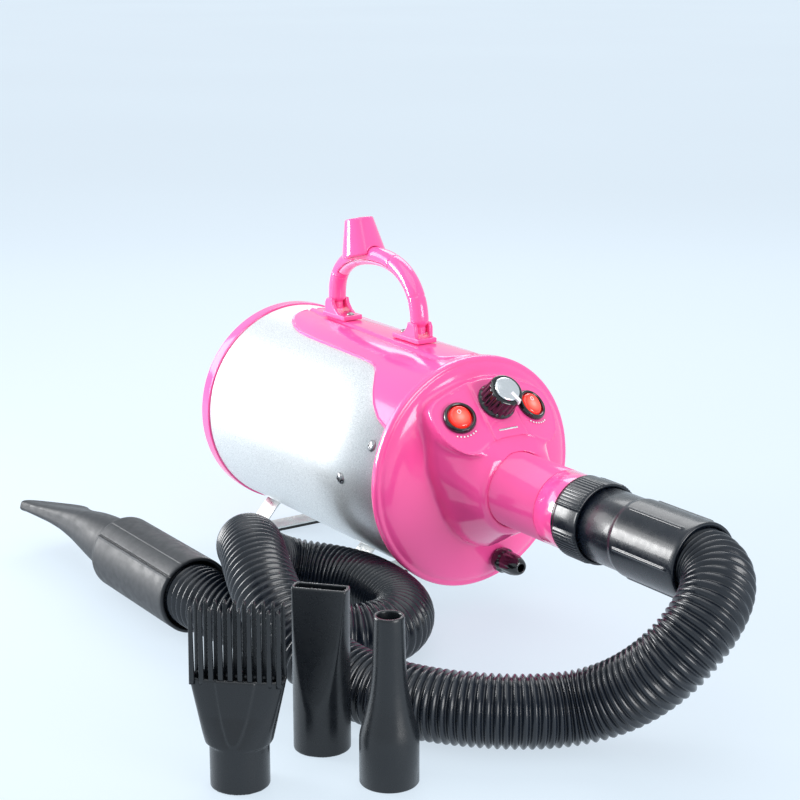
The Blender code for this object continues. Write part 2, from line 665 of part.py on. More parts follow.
def make_motor(steel, copper, rubber, dark):
    add_object("fan_housing", on_axis(turned([
        (-0.060, 0.024), (-0.060, 0.060), (-0.015, 0.060), (-0.015, 0.045), (-0.017, 0.045), (-0.017, 0.058),
        (-0.058, 0.058), (-0.058, 0.024),
    ])), steel)
    impeller = add_object("impeller", on_axis(turned([
        (-0.0380, 0.0043), (-0.0380, 0.0520), (-0.0400, 0.0520), (-0.0420, 0.0140), (-0.0540, 0.0120),
        (-0.0540, 0.0043),
    ], 24)), steel)
    blades = add_object("impeller_blades", on_axis(star_prism(0.012, 0.051, 9, -0.0530, -0.0390, 0.0012)),
                        cutter=True)
    bore = add_object("impeller_bore", on_axis(turned(pin_profile(0.0043, 0.06), 24)), cutter=True)
    boolean(impeller, blades, "UNION")
    boolean(impeller, bore)
    add_object("motor_shaft", on_axis(turned([
        (0.052, 0), (0.052, 0.004), (-0.057, 0.004), (-0.057, 0),
    ], 24)), steel)
    add_object("armature", on_axis(turned([
        (-0.006, 0.0043), (-0.006, 0.012), (-0.004, 0.012), (-0.004, 0.0235), (0.026, 0.0235), (0.026, 0.013),
        (0.036, 0.013), (0.036, 0.0043),
    ], 24)), copper)
    add_object("stator", on_axis(turned([
        (-0.004, 0.0245), (-0.004, 0.041), (0.026, 0.041), (0.026, 0.0245),
    ], 24)), dark)
    add_object("rear_bearing", on_axis(turned(bearing_profile(-0.0315), 24)), steel)
    add_object("front_bearing", on_axis(turned(bearing_profile(0.0440), 24)), steel)
    rear = polar_plate([0.0113, 0.017, 0.038, 0.0572], 24, {1}, 4, -0.0315, -0.0250)
    add_object("rear_bearing_bracket", on_axis(rear), dark)
    front = polar_plate([0.0113, 0.017, 0.035, 0.042, 0.078, 0.0830], 28, {1, 3}, 4, 0.0440, 0.0500)
    add_object("front_bearing_bracket", on_axis(front), dark)
    wall = BARREL_R - BARREL_WALL - GAP
    add_object("motor_mount_ring", on_axis(turned([
        (-0.054, 0.0605), (-0.054, wall), (-0.040, wall), (-0.040, 0.0605),
    ], BIG)), rubber)


def bearing_profile(x):
    return [(x, 0.0043), (x, 0.011), (x + 0.006, 0.011), (x + 0.006, 0.0043)]


def make_heater(steel, mica, copper):
    add_object("heater_shroud", on_axis(turned([
        (0.054, 0.0435), (0.054, 0.0450), (0.098, 0.0450), (0.098, 0.0435),
    ])), steel)
    plate = boxed((0.056, -0.034, AXIS_Z - 0.001), (0.096, 0.034, AXIS_Z + 0.001))
    frame = add_object("heater_frame", plate, mica, smooth=False)
    cross = boxed((0.056, -0.001, AXIS_Z - 0.034), (0.096, 0.001, AXIS_Z + 0.034))
    boolean(frame, add_object("heater_cross", cross, cutter=True, smooth=False), "UNION")
    turns, radius = 3, 0.0375
    points = []
    for i in range(turns * 14 + 1):
        turn = 2 * math.pi * i / 14
        points.append((0.060 + 0.032 * i / (turns * 14), radius * math.cos(turn), AXIS_Z + radius * math.sin(turn)))
    wire = tube_curve("heater_coil", points, 0.0022, 1)
    wire.data.materials.append(copper)


def make_control_board(board):
    add_object("control_board", boxed((0.0855, -0.026, AXIS_Z + 0.050), (0.0871, 0.026, AXIS_Z + 0.073)), board,
               smooth=False)


# ---------------------------------------------------------------- hose and nozzles


def tube_curve(name, points, radius, resolution):
    curve = bpy.data.curves.new(name, "CURVE")
    curve.dimensions = "3D"
    curve.bevel_depth = radius
    curve.bevel_resolution = resolution
    curve.use_fill_caps = True
    spline = curve.splines.new("POLY")
    spline.points.add(len(points) - 1)
    for knot, point in zip(spline.points, points):
        knot.co = (*point, 1.0)
    obj = bpy.data.objects.new(name, curve)
    bpy.context.scene.collection.objects.link(obj)
    return obj


def make_hose(black):
    hose = tube_curve("hose", smooth_curve(HOSE_ROUTE, 0.0165), HOSE_R, 3)
    hose.data.materials.append(black)


def make_hose_fittings(black, charcoal):
    """The twist-on collar and the sleeve at the dryer, and the cuff at the other end."""
    low, high = COLLAR_X
    neck = 0.0265
    add_object("hose_collar", on_axis(turned([
        (low, 0.0288), (low + 0.0015, 0.0300), (high - 0.001, 0.0300), (high, 0.0290), (high, neck + GAP),
        (PIPE_END_X + GAP, neck + GAP), (PIPE_END_X + GAP, PIPE_R + GAP), (low, PIPE_R + GAP),
    ])), black)
    add_object("hose_sleeve", on_axis(turned([
        (PIPE_END_X + 0.0009, neck), (0.287, neck), (0.290, 0.0278), (SLEEVE_END_X - 0.001, 0.0278),
        (SLEEVE_END_X, 0.0270), (SLEEVE_END_X, 0.0249), (0.3345, 0.0249), (0.3345, 0.0235),
        (PIPE_END_X + 0.0009, 0.0235),
    ])), black)
    x0, x1 = CUFF_X
    step = -0.0203
    cuff = turned([
        (x1, CUFF_R - 0.0005), (x1 - 0.001, CUFF_R), (x0 + 0.003, CUFF_R), (x0, CUFF_R - 0.003),
        (x0, 0.0218), (step - 0.004, 0.0218), (step, 0.0218), (step, CUFF_R - 0.0025), (x1, CUFF_R - 0.0025),
    ])
    add_object("end_cuff", moved(cuff, Matrix.Translation((0, CUFF_Y, CUFF_Z))), charcoal)


def slot_ring(half_width, half_thickness, count=24):
    """Points of a flattened round: superellipse from a circle to a slot as it gets thinner."""
    ring = []
    flat = 2.0 + 3.0 * (1 - min(1.0, half_thickness / half_width))
    for i in range(count):
        turn = 2 * math.pi * i / count
        c, s = math.cos(turn), math.sin(turn)
        ring.append((
            half_width * math.copysign(abs(c) ** (2 / flat), c),
            half_thickness * math.copysign(abs(s) ** (2 / flat), s),
        ))
    return ring


def make_wide_nozzle(black):
    """The wide flat nozzle in the end cuff: a round root that spreads into a slot, open at both ends."""
    wall = 0.002
    roll = math.radians(16)
    stations = [(-0.068, 0.0215, 0.0215, 0.0), (-0.094, 0.0215, 0.0215, 0.0), (-0.112, 0.0213, 0.0204, 0.0008),
                (-0.130, 0.0208, 0.0172, 0.0024), (-0.148, 0.0206, 0.0136, 0.0036),
                (-0.166, 0.0216, 0.0102, 0.0036), (-0.184, 0.0240, 0.0078, 0.0026),
                (-0.205, 0.0286, 0.0059, 0.0010), (-0.222, 0.0316, 0.0052, 0.0)]
    outer, inner = [], []
    for x, half_width, half_thickness, lift in stations:
        for rings, skin in ((outer, 0.0), (inner, wall)):
            ring = []
            for across, up in slot_ring(half_width - skin, half_thickness - skin):
                y = across * math.cos(roll) + up * math.sin(roll)
                z = -across * math.sin(roll) + up * math.cos(roll)
                ring.append((x, CUFF_Y + y, CUFF_Z + z + lift))
            rings.append(ring)
    add_object("wide_nozzle", hollow_loft(outer, inner), black)


ROUND_AT = (0.314, -0.220)
FLAT_AT = (0.249, -0.228)
COMB_AT = (0.265, -0.297)
STAND_UP = Matrix.Rotation(-math.pi / 2, 4, "Y")


def make_round_nozzle(black):
    bm = turned([
        (0.0, NOZZLE_BASE_R), (0.030, NOZZLE_BASE_R), (0.036, 0.0172), (0.052, 0.0135), (0.068, 0.0108),
        (0.108, 0.0093), (0.108, 0.0073), (0.068, 0.0088), (0.036, 0.0152), (0.030, 0.0163), (0.0, 0.0163),
    ], 24)
    add_object("round_nozzle", bm, black).matrix_world = Matrix.Translation((*ROUND_AT, 0)) @ STAND_UP


def make_flat_nozzle(black):
    """A round nozzle pressed flat: two facets lean in from the base to the slot."""
    height, start, wall = 0.108, 0.030, 0.002
    slope = (NOZZLE_BASE_R - 0.0062) / (height - start)
    outer, inner = [], []
    for z in (0.0, start, 0.045, 0.060, 0.080, height):
        for rings, skin in ((outer, 0.0), (inner, wall)):
            limit = NOZZLE_BASE_R - slope * max(0.0, z - start) - skin
            ring = []
            for i in range(28):
                turn = 2 * math.pi * i / 28
                radius = NOZZLE_BASE_R - skin
                thick = max(-limit, min(limit, radius * math.sin(turn)))
                ring.append((radius * math.cos(turn), thick, z))
            rings.append(ring)
    place = Matrix.Translation((*FLAT_AT, 0)) @ Matrix.Rotation(math.radians(42), 4, "Z")
    add_object("flat_nozzle", hollow_loft(outer, inner), black).matrix_world = place


COMB_TEETH = 10


def make_comb_nozzle(black):
    """A round root that fans into a flat box, open at the top between two rows of teeth."""
    wall = 0.002
    stations = [(0.0, 0.0184, 0.0184), (0.027, 0.0184, 0.0184), (0.0295, 0.0206, 0.0184),
                (0.048, 0.0248, 0.0130), (0.070, 0.0297, 0.0088)]
    outer, inner = [], []
    for z, half_width, half_thickness in stations:
        for rings, skin in ((outer, 0.0), (inner, wall)):
            ring = [(u, v, z) for u, v in slot_ring(half_width - skin, half_thickness - skin, 24)]
            rings.append(ring)
    place = Matrix.Translation((*COMB_AT, 0)) @ Matrix.Rotation(math.radians(48), 4, "Z")
    comb = add_object("comb_nozzle", hollow_loft(outer, inner), black)
    comb.matrix_world = place
    teeth = []
    for row in (-1, 1):
        for i in range(COMB_TEETH):
            x = 0.0268 * (2 * i / (COMB_TEETH - 1) - 1)
            y = row * 0.0072
            rings = []
            for z, half in ((0.064, 0.0016), (0.110, 0.0012), (0.1160, 0.0006)):
                corners = ((-half, -half), (half, -half), (half, half), (-half, half))
                rings.append([(x + dx, y + dy, z) for dx, dy in corners])
            teeth.append(lofted(rings))
    tool = add_object("comb_teeth", join_meshes(teeth), cutter=True, smooth=False)
    tool.matrix_world = place
    boolean(comb, tool, "UNION")


def set_origin(name, point):
    """Moves an object's origin to a point on its joint's axis and leaves its mesh where it is."""
    obj = bpy.data.objects[name]
    there = Matrix.Translation(point)
    obj.data.transform(there.inverted() @ obj.matrix_world)
    obj.matrix_world = there


def main():
    clear_scene()
    pink = material("pink_abs", PINK, 0.18)
    pale = material("pale_pink_abs", (0.96, 0.42, 0.62), 0.25)
    black = material("black_abs", BLACK, 0.25)
    charcoal = material("charcoal_abs", (0.045, 0.047, 0.052), 0.45)
    steel = material("galvanised_steel", STEEL, 0.38, 1.0)
    silver = material("brushed_aluminium", (0.80, 0.81, 0.82), 0.3, 1.0)
    dark = material("dark_steel", (0.12, 0.12, 0.13), 0.5, 0.8)
    copper = material("copper_winding", (0.72, 0.36, 0.18), 0.4, 1.0)
    rubber = material("black_rubber", (0.02, 0.02, 0.02), 0.8)
    foam = material("grey_foam", (0.10, 0.10, 0.11), 0.95)
    red = material("lit_red", (0.86, 0.08, 0.03), 0.2)
    mica = material("mica", (0.62, 0.55, 0.40), 0.6)
    board = material("green_board", (0.02, 0.20, 0.09), 0.5)

    make_barrel(steel)
    make_barrel_screws(steel)
    make_rear_cap(pink)
    make_inlet(pink, foam, steel)
    make_front_cover(pink)
    make_switches(black, red)
    make_speed_control(black, silver, steel)
    make_gland(black)
    make_outlet(pink)
    make_top_saddle(pink)
    clearance = make_handle(pink, pale)
    make_handle_feet(pink, steel)
    make_hose_rest(pink, clearance)
    make_stands(steel, rubber)
    make_motor(steel, copper, rubber, dark)
    make_heater(steel, mica, copper)
    make_control_board(board)
    make_hose(black)
    make_hose_fittings(black, charcoal)
    make_wide_nozzle(black)
    make_round_nozzle(black)
    make_flat_nozzle(black)
    make_comb_nozzle(black)

    for name in ("impeller", "motor_shaft", "armature"):
        set_origin(name, (-0.020, 0, AXIS_Z))
    for name in ("inlet_grille", "filter_sponge"):
        set_origin(name, (CAP_REAR_X, 0, AXIS_Z))
    set_origin("hose_collar", (COLLAR_X[0], 0, AXIS_Z))
    set_origin("wide_nozzle", (CUFF_X[0], CUFF_Y, CUFF_Z))


main()
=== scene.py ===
"""Looks of the pet dryer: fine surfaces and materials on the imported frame, camera, lights and floor."""

import math

import bmesh
import bpy
import numpy as np
from mathutils import Matrix, Vector


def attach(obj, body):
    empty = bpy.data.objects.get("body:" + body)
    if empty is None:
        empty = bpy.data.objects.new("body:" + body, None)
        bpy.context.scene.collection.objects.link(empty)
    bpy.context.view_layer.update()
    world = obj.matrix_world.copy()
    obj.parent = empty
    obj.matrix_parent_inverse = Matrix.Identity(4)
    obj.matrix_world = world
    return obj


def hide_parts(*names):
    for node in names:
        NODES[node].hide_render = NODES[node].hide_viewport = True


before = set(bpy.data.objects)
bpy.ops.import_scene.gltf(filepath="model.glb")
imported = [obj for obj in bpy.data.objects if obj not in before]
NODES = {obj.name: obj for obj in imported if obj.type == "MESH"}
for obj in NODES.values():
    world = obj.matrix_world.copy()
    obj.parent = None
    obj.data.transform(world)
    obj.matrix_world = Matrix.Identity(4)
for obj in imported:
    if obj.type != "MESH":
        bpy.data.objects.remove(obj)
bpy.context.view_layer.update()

AXIS_Z = 0.108
BARREL_R = 0.0855
FLANGE_REAR_X = 0.0952
PIPE_R = 0.028
PIPE_SPLIT_X = 0.2095
HOSE_R = 0.024
CUFF_Y, CUFF_Z = -0.203, 0.0295
PANEL_EDGE = Vector((0.149, 0.0, 0.146))
PANEL_TILT = math.radians(43.3)
LOBE_TURN = math.radians(12.0)
SWITCH_Y = {-1: 0.034, 1: 0.0312}
ROCKER_RISE = 0.0245  # from the panel's lower edge up to the switches
KNOB_RISE = 0.0305
ROCKER_R = 0.0088
STRIP_HALF_WIDTH = 0.015
UP_PANEL = Vector((-math.sin(PANEL_TILT), 0, math.cos(PANEL_TILT)))
GLAND_AT = Vector((0.1105, 0.020, 0.037))
ON_AXIS = Matrix.Translation((0, 0, AXIS_Z))
STAND_UP = Matrix.Rotation(-math.pi / 2, 4, "Y")
HOSE_ROUTE = [
    (0.335, 0.0, 0.108), (0.353, 0.0, 0.108), (0.3715, -0.006, 0.105), (0.386, -0.024, 0.0935),
    (0.387, -0.047, 0.0725), (0.375, -0.063, 0.052), (0.356, -0.077, 0.0348), (0.339, -0.095, 0.0258),
    (0.325, -0.120, 0.0244), (0.300, -0.150, 0.0244), (0.266, -0.174, 0.0244), (0.226, -0.190, 0.027),
    (0.186, -0.201, 0.039), (0.148, -0.204, 0.058), (0.114, -0.196, 0.072), (0.082, -0.183, 0.076),
    (0.050, -0.167, 0.066), (0.025, -0.145, 0.047), (0.017, -0.119, 0.031), (0.034, -0.093, 0.0247),
    (0.068, -0.0795, 0.0244), (0.106, -0.0805, 0.0244), (0.138, -0.091, 0.0244), (0.158, -0.114, 0.0244),
    (0.158, -0.140, 0.0244), (0.140, -0.162, 0.0244), (0.112, -0.178, 0.0246), (0.084, -0.190, 0.0255),
    (0.057, -0.199, 0.028), (0.032, -0.203, 0.0295), (0.008, -0.203, 0.0295), (-0.020, -0.203, 0.0295),
]
HANDLE_ROUTE = [
    (-0.090, 0.203), (-0.090, 0.218), (-0.087, 0.230), (-0.079, 0.240), (-0.066, 0.248), (-0.048, 0.253),
    (-0.027, 0.255), (-0.008, 0.253), (0.008, 0.247), (0.019, 0.238), (0.026, 0.227), (0.029, 0.215),
    (0.029, 0.203),
]

# ---------------------------------------------------------------- mesh helpers


def in_scene(name, bm):
    mesh = bpy.data.meshes.new(name)
    bm.to_mesh(mesh)
    bm.free()
    obj = bpy.data.objects.new(name, mesh)
    bpy.context.scene.collection.objects.link(obj)
    return obj


def finished(name, bm, mat, body="housing", nodes=(), bevel=0.0, segments=2, angle=32):
    """Makes the piece, softens its edges, hooks it to its body, and hides the CAD nodes it stands for."""
    bmesh.ops.recalc_face_normals(bm, faces=bm.faces)
    obj = in_scene(name, bm)
    obj.data.materials.append(mat)
    obj.data.shade_smooth()
    if bevel:
        edges = obj.modifiers.new("edges", "BEVEL")
        edges.width = bevel
        edges.segments = segments
        edges.limit_method = "ANGLE"
        edges.angle_limit = math.radians(angle)
        edges.miter_outer = "MITER_ARC"
        shade = obj.modifiers.new("shade", "WEIGHTED_NORMAL")
        shade.keep_sharp = True
    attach(obj, body)
    if nodes:
        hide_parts(*nodes)
    return obj


def turned(profile, segments, swell=None):
    """A solid turned about +X. swell(x, radius, angle) may move a point's radius."""
    bm = bmesh.new()
    rings = []
    for x, radius in profile:
        if radius < 1e-6:
            rings.append([bm.verts.new((x, 0, 0))])
            continue
        ring = []
        for i in range(segments):
            a = 2 * math.pi * i / segments
            r = swell(x, radius, a) if swell else radius
            ring.append(bm.verts.new((x, r * math.cos(a), r * math.sin(a))))
        rings.append(ring)
    for here, there in zip(rings, rings[1:] + rings[:1]):
        if len(here) == 1 and len(there) == 1:
            continue
        for i in range(segments):
            j = (i + 1) % segments
            quad = [here[i % len(here)], here[j % len(here)], there[j % len(there)], there[i % len(there)]]
            bm.faces.new(list(dict.fromkeys(quad)))
    return bm


def skinned(rows, closed_along=False):
    """Faces over rows of equal point count, each row a closed ring."""
    bm = bmesh.new()
    verts = [[bm.verts.new(point) for point in row] for row in rows]
    count = len(verts[0])
    for here, there in zip(verts, verts[1:] + (verts[:1] if closed_along else [])):
        for i in range(count):
            j = (i + 1) % count
            bm.faces.new([here[i], here[j], there[j], there[i]])
    if not closed_along:
        bm.faces.new(verts[0])
        bm.faces.new(verts[-1])
    return bm


def prism(outline, low, high, place):
    """An outline of (x, z) points extruded along Y from low to high, set in place by a matrix."""
    return moved(skinned([[(x, y, z) for x, z in outline] for y in (low, high)]), place)


def slab(x0, x1, half_y, low, high):
    corners = ((x0, -half_y), (x1, -half_y), (x1, half_y), (x0, half_y))
    return skinned([[(x, y, z) for x, y in corners] for z in (low, high)])


def merged(parts):
    whole = bmesh.new()
    for part in parts:
        mesh = bpy.data.meshes.new("part")
        part.to_mesh(mesh)
        part.free()
        whole.from_mesh(mesh)
        bpy.data.meshes.remove(mesh)
    return whole


def moved(bm, matrix):
    bmesh.ops.transform(bm, matrix=matrix, verts=bm.verts)
    return bm


def frame_along(origin, direction, up):
    x_axis = Vector(direction).normalized()
    y_axis = Vector(up).cross(x_axis).normalized()
    turn = Matrix((x_axis, y_axis, x_axis.cross(y_axis))).transposed().to_4x4()
    return Matrix.Translation(origin) @ turn


def smooth_curve(points, spacing):
    """Points every spacing along a natural cubic spline through the given points."""
    knots = np.array(points, float)
    count = len(knots)
    chords = np.linalg.norm(np.diff(knots, axis=0), axis=1)
    at = np.concatenate([[0.0], np.cumsum(np.sqrt(chords))])
    step = np.diff(at)
    left = np.eye(count)
    right = np.zeros_like(knots)
    for i in range(1, count - 1):
        left[i, i - 1 : i + 2] = step[i - 1], 2 * (step[i - 1] + step[i]), step[i]
        right[i] = 6 * ((knots[i + 1] - knots[i]) / step[i] - (knots[i] - knots[i - 1]) / step[i - 1])
    bend = np.linalg.solve(left, right)
    fine = []
    for i in range(count - 1):
        for s in np.linspace(at[i], at[i + 1], 24, endpoint=i == count - 2):
            u, v, h = s - at[i], at[i + 1] - s, step[i]
            cubic = (bend[i] * v**3 + bend[i + 1] * u**3) / (6 * h)
            start, end = knots[i] / h - bend[i] * h / 6, knots[i + 1] / h - bend[i + 1] * h / 6
            fine.append(cubic + start * v + end * u)
    fine = np.array(fine)
    run = np.concatenate([[0.0], np.cumsum(np.linalg.norm(np.diff(fine, axis=0), axis=1))])
    want = np.linspace(0, run[-1], round(run[-1] / spacing) + 1)
    return np.stack([np.interp(want, run, fine[:, k]) for k in range(3)], axis=1)


def directions(path):
    along = np.gradient(path, axis=0)
    return along / np.linalg.norm(along, axis=1)[:, None]


def carried_sides(path):
    """Two side directions carried along a path without twist."""
    along = directions(path)
    side = np.cross(along[0], (0, 0, 1.0))
    sides = []
    for tangent in along:
        side = side - tangent * side.dot(tangent)
        side = side / np.linalg.norm(side)
        sides.append(side)
    sides = np.array(sides)
    return sides, np.cross(along, sides)


def smooth_least(a, b, k):
    h = np.maximum(k - np.abs(a - b), 0) / k
    return np.minimum(a, b) - h * h * k / 4


def smooth_most(a, b, k):
    return -smooth_least(-a, -b, k)


def implicit_mesh(field, low, high, step):
    """A closed mesh where field(points) is zero, negative inside. Each grid cell that the surface crosses
    gets one point, which then moves onto the surface along the field's slope."""
    axes = [np.arange(lo, hi + step, step) for lo, hi in zip(low, high)]
    grid = np.stack(np.meshgrid(*axes, indexing="ij"), axis=-1)
    value = field(grid.reshape(-1, 3)).reshape(grid.shape[:3])
    shape = np.array(value.shape) - 1
    total = np.zeros((*shape, 3))
    hits = np.zeros(tuple(shape))
    for a in np.ndindex(2, 2, 2):
        for axis in range(3):
            if a[axis]:
                continue
            b = tuple(a[d] + (d == axis) for d in range(3))
            va, vb = (value[tuple(slice(c, c + n) for c, n in zip(end, shape))] for end in (a, b))
            crossed = (va < 0) != (vb < 0)
            share = np.where(crossed, va / np.where(va == vb, 1.0, va - vb), 0.0)
            spot = np.zeros((*shape, 3)) + np.array(a, float)
            spot[..., axis] += share
            total += spot * crossed[..., None]
            hits += crossed
    used = hits > 0
    index = np.full(tuple(shape), -1)
    index[used] = np.arange(used.sum())
    cells = np.argwhere(used)
    points = np.array(low) + (cells + total[used] / hits[used][:, None]) * step
    for _ in range(3):
        here = field(points)
        slope = np.stack([
            field(points + d) - field(points - d) for d in np.eye(3) * step * 0.05
        ], axis=1) / (step * 0.1)
        move = here[:, None] * slope / np.maximum((slope**2).sum(axis=1), 0.2)[:, None]
        points -= np.clip(move, -step * 0.4, step * 0.4)
    faces = []
    for axis in range(3):
        u, v = [d for d in range(3) if d != axis]
        first = np.moveaxis(value, (axis, u, v), (0, 1, 2))
        ids = np.moveaxis(index, (axis, u, v), (0, 1, 2))
        low_in = first[:-1, 1:-1, 1:-1] < 0
        high_in = first[1:, 1:-1, 1:-1] < 0
        for inside, flip in ((low_in & ~high_in, False), (~low_in & high_in, True)):
            i, j, k = np.nonzero(inside)
            quad = np.stack([ids[i, j, k], ids[i, j + 1, k], ids[i, j + 1, k + 1], ids[i, j, k + 1]], axis=1)
            faces.append(quad[:, ::-1] if flip != (axis == 1) else quad)
    bm = bmesh.new()
    verts = [bm.verts.new(point) for point in points]
    for quad in np.concatenate(faces):
        bm.faces.new([verts[i] for i in quad])
    for vert in [v for v in bm.verts if not v.link_faces]:
        bm.verts.remove(vert)
    return bm


# ---------------------------------------------------------------- materials


def fill(node, **values):
    """Sets a node's inputs by name, with _ for a space."""
    for key, value in values.items():
        node.inputs[key.replace("_", " ")].default_value = value


class Shader:
    """A Principled material whose colour, roughness and bump come from a few procedural nodes."""

    def __init__(self, name, colour, roughness, metallic=0.0, **settings):
        self.mat = bpy.data.materials.new(name)
        self.mat.use_nodes = True
        self.tree = self.mat.node_tree
        self.out = self.tree.nodes["Principled BSDF"]
        fill(self.out, Base_Color=(*colour, 1.0), Roughness=roughness, Metallic=metallic, **settings)
        self.at = self.node("ShaderNodeTexCoord").outputs["Object"]

    def node(self, kind, **settings):
        made = self.tree.nodes.new(kind)
        for key, value in settings.items():
            setattr(made, key, value)
        return made

    def join(self, source, target):
        self.tree.links.new(source, target)

    def noise(self, scale, detail=3.0):
        made = self.node("ShaderNodeTexNoise")
        fill(made, Scale=scale, Detail=detail)
        self.join(self.at, made.inputs["Vector"])
        return made.outputs["Fac"]

    def ramp(self, source, stops):
        made = self.node("ShaderNodeValToRGB")
        ramp = made.color_ramp
        while len(ramp.elements) < len(stops):
            ramp.elements.new(0.5)
        for element, (where, colour) in zip(ramp.elements, stops):
            element.position = where
            element.color = (*colour, 1.0)
        self.join(source, made.inputs["Fac"])
        return made.outputs["Color"]

    def tint(self, source, low, high):
        """Base colour between two shades."""
        self.join(self.ramp(source, [(0.3, low), (0.7, high)]), self.out.inputs["Base Color"])

    def spread(self, source, low, high):
        """Roughness between two values."""
        made = self.node("ShaderNodeMapRange")
        fill(made, From_Min=0.3, From_Max=0.7, To_Min=low, To_Max=high)
        self.join(source, made.inputs["Value"])
        self.join(made.outputs["Result"], self.out.inputs["Roughness"])

    def bump(self, source, depth, strength):
        made = self.node("ShaderNodeBump")
        fill(made, Distance=depth, Strength=strength)
        self.join(source, made.inputs["Height"])
        self.join(made.outputs["Normal"], self.out.inputs["Normal"])


def gloss_plastic(name, colour, shade, roughness, coat=0.0):
    """Moulded plastic: slow colour drift, fine roughness mottling and a faint orange-peel surface."""
    made = Shader(name, colour, roughness, Coat_Weight=coat, Coat_Roughness=0.05)
    made.tint(made.noise(9.0, 2.0), shade, colour)
    made.spread(made.noise(160.0), roughness * 0.85, roughness * 1.2)
    made.bump(made.noise(520.0, 2.0), 0.00002, 0.35)
    return made.mat


def plated(name, colour, roughness):
    made = Shader(name, colour, roughness, 1.0)
    made.tint(made.noise(70.0, 5.0), tuple(c * 0.78 for c in colour), colour)
    made.spread(made.noise(120.0, 4.0), roughness * 0.7, roughness * 1.5)
    made.bump(made.noise(900.0, 2.0), 0.00003, 0.4)
    return made.mat


def speckled_steel():
    made = Shader("speckled_steel", (0.66, 0.68, 0.69), 0.40, 0.62)
    made.tint(made.noise(1500.0, 2.0), (0.50, 0.52, 0.53), (0.86, 0.88, 0.89))
    made.spread(made.noise(700.0, 2.0), 0.33, 0.52)
    made.bump(made.noise(1100.0, 2.0), 0.00006, 0.5)
    return made.mat


def brushed_cap():
    """Spun aluminium: fine rings about the piece's own X axis."""
    made = Shader("brushed_aluminium", (0.86, 0.87, 0.88), 0.22, 1.0)
    split = made.node("ShaderNodeSeparateXYZ")
    made.join(made.at, split.inputs["Vector"])
    flat = made.node("ShaderNodeCombineXYZ")
    made.join(split.outputs["Y"], flat.inputs["X"])
    made.join(split.outputs["Z"], flat.inputs["Y"])
    rings = made.node("ShaderNodeTexWave", wave_type="RINGS", rings_direction="SPHERICAL")
    fill(rings, Scale=900.0, Distortion=1.5)
    made.join(flat.outputs["Vector"], rings.inputs["Vector"])
    made.tint(rings.outputs["Fac"], (0.70, 0.71, 0.72), (0.90, 0.91, 0.92))
    made.bump(rings.outputs["Fac"], 0.00003, 0.6)
    return made.mat


def lit_lens():
    """Red rocker with its lamp behind the middle; the piece's own X axis looks out of the panel."""
    made = Shader("red_lens", (0.78, 0.02, 0.01), 0.16, Coat_Weight=0.6, Coat_Roughness=0.04)
    spread = made.node("ShaderNodeVectorMath", operation="LENGTH")
    made.join(made.at, spread.inputs[0])
    scaled = made.node("ShaderNodeMath", operation="MULTIPLY")
    scaled.inputs[1].default_value = 112.0
    made.join(spread.outputs["Value"], scaled.inputs[0])
    glow = made.ramp(scaled.outputs["Value"], [
        (0.26, (1.0, 0.74, 0.68)), (0.58, (1.0, 0.20, 0.14)), (0.90, (0.60, 0.020, 0.012)),
    ])
    made.join(glow, made.out.inputs["Emission Color"])
    fill(made.out, Emission_Strength=0.9)
    made.bump(made.noise(300.0, 2.0), 0.00005, 0.3)
    return made.mat


def rubber():
    made = Shader("foot_rubber", (0.02, 0.02, 0.021), 0.75)
    made.tint(made.noise(300.0), (0.012, 0.012, 0.013), (0.035, 0.035, 0.036))
    made.bump(made.noise(900.0, 4.0), 0.0001, 0.6)
    return made.mat


def foam():
    made = Shader("filter_foam", (0.09, 0.09, 0.10), 0.95)
    cells = made.node("ShaderNodeTexVoronoi")
    fill(cells, Scale=700.0)
    made.join(made.at, cells.inputs["Vector"])
    made.tint(cells.outputs["Distance"], (0.02, 0.02, 0.025), (0.16, 0.16, 0.17))
    made.bump(cells.outputs["Distance"], 0.0006, 0.9)
    return made.mat


def windings(name, colour):
    made = Shader(name, colour, 0.35, 1.0)
    wave = made.node("ShaderNodeTexWave", bands_direction="X")
    fill(wave, Scale=400.0)
    made.join(made.at, wave.inputs["Vector"])
    made.tint(wave.outputs["Fac"], tuple(c * 0.5 for c in colour), colour)
    made.bump(wave.outputs["Fac"], 0.0002, 0.7)
    return made.mat


PINK = gloss_plastic("pink_abs", (0.99, 0.102, 0.365), (0.96, 0.086, 0.33), 0.15, 0.5)
PALE = gloss_plastic("pale_pink_abs", (0.97, 0.38, 0.62), (0.94, 0.33, 0.56), 0.22, 0.2)
BLACK = gloss_plastic("black_abs", (0.005, 0.006, 0.008), (0.003, 0.004, 0.005), 0.12, 0.5)
HOSE = gloss_plastic("hose_plastic", (0.0045, 0.0075, 0.014), (0.003, 0.0052, 0.010), 0.27, 0.15)
CHARCOAL = gloss_plastic("charcoal_abs", (0.0095, 0.0115, 0.0145), (0.0065, 0.008, 0.0105), 0.27)
STEEL = plated("plated_steel", (0.72, 0.72, 0.70), 0.28)
SCREW = plated("screw_steel", (0.34, 0.34, 0.35), 0.30)
DARK = plated("dark_steel", (0.13, 0.13, 0.14), 0.45)
CAST = plated("cast_aluminium", (0.70, 0.71, 0.72), 0.38)
SATIN = gloss_plastic("satin_charcoal", (0.020, 0.022, 0.026), (0.015, 0.0165, 0.020), 0.50)
BARREL = speckled_steel()
SILVER = brushed_cap()
LENS = lit_lens()
RUBBER = rubber()
FOAM = foam()
COPPER = windings("copper_winding", (0.72, 0.34, 0.16))
MICA = gloss_plastic("mica_board", (0.60, 0.52, 0.38), (0.48, 0.41, 0.30), 0.55)
BOARD = gloss_plastic("green_board", (0.02, 0.20, 0.09), (0.01, 0.13, 0.06), 0.4)
WHITE = gloss_plastic("white_print", (0.95, 0.88, 0.91), (0.92, 0.84, 0.88), 0.4)

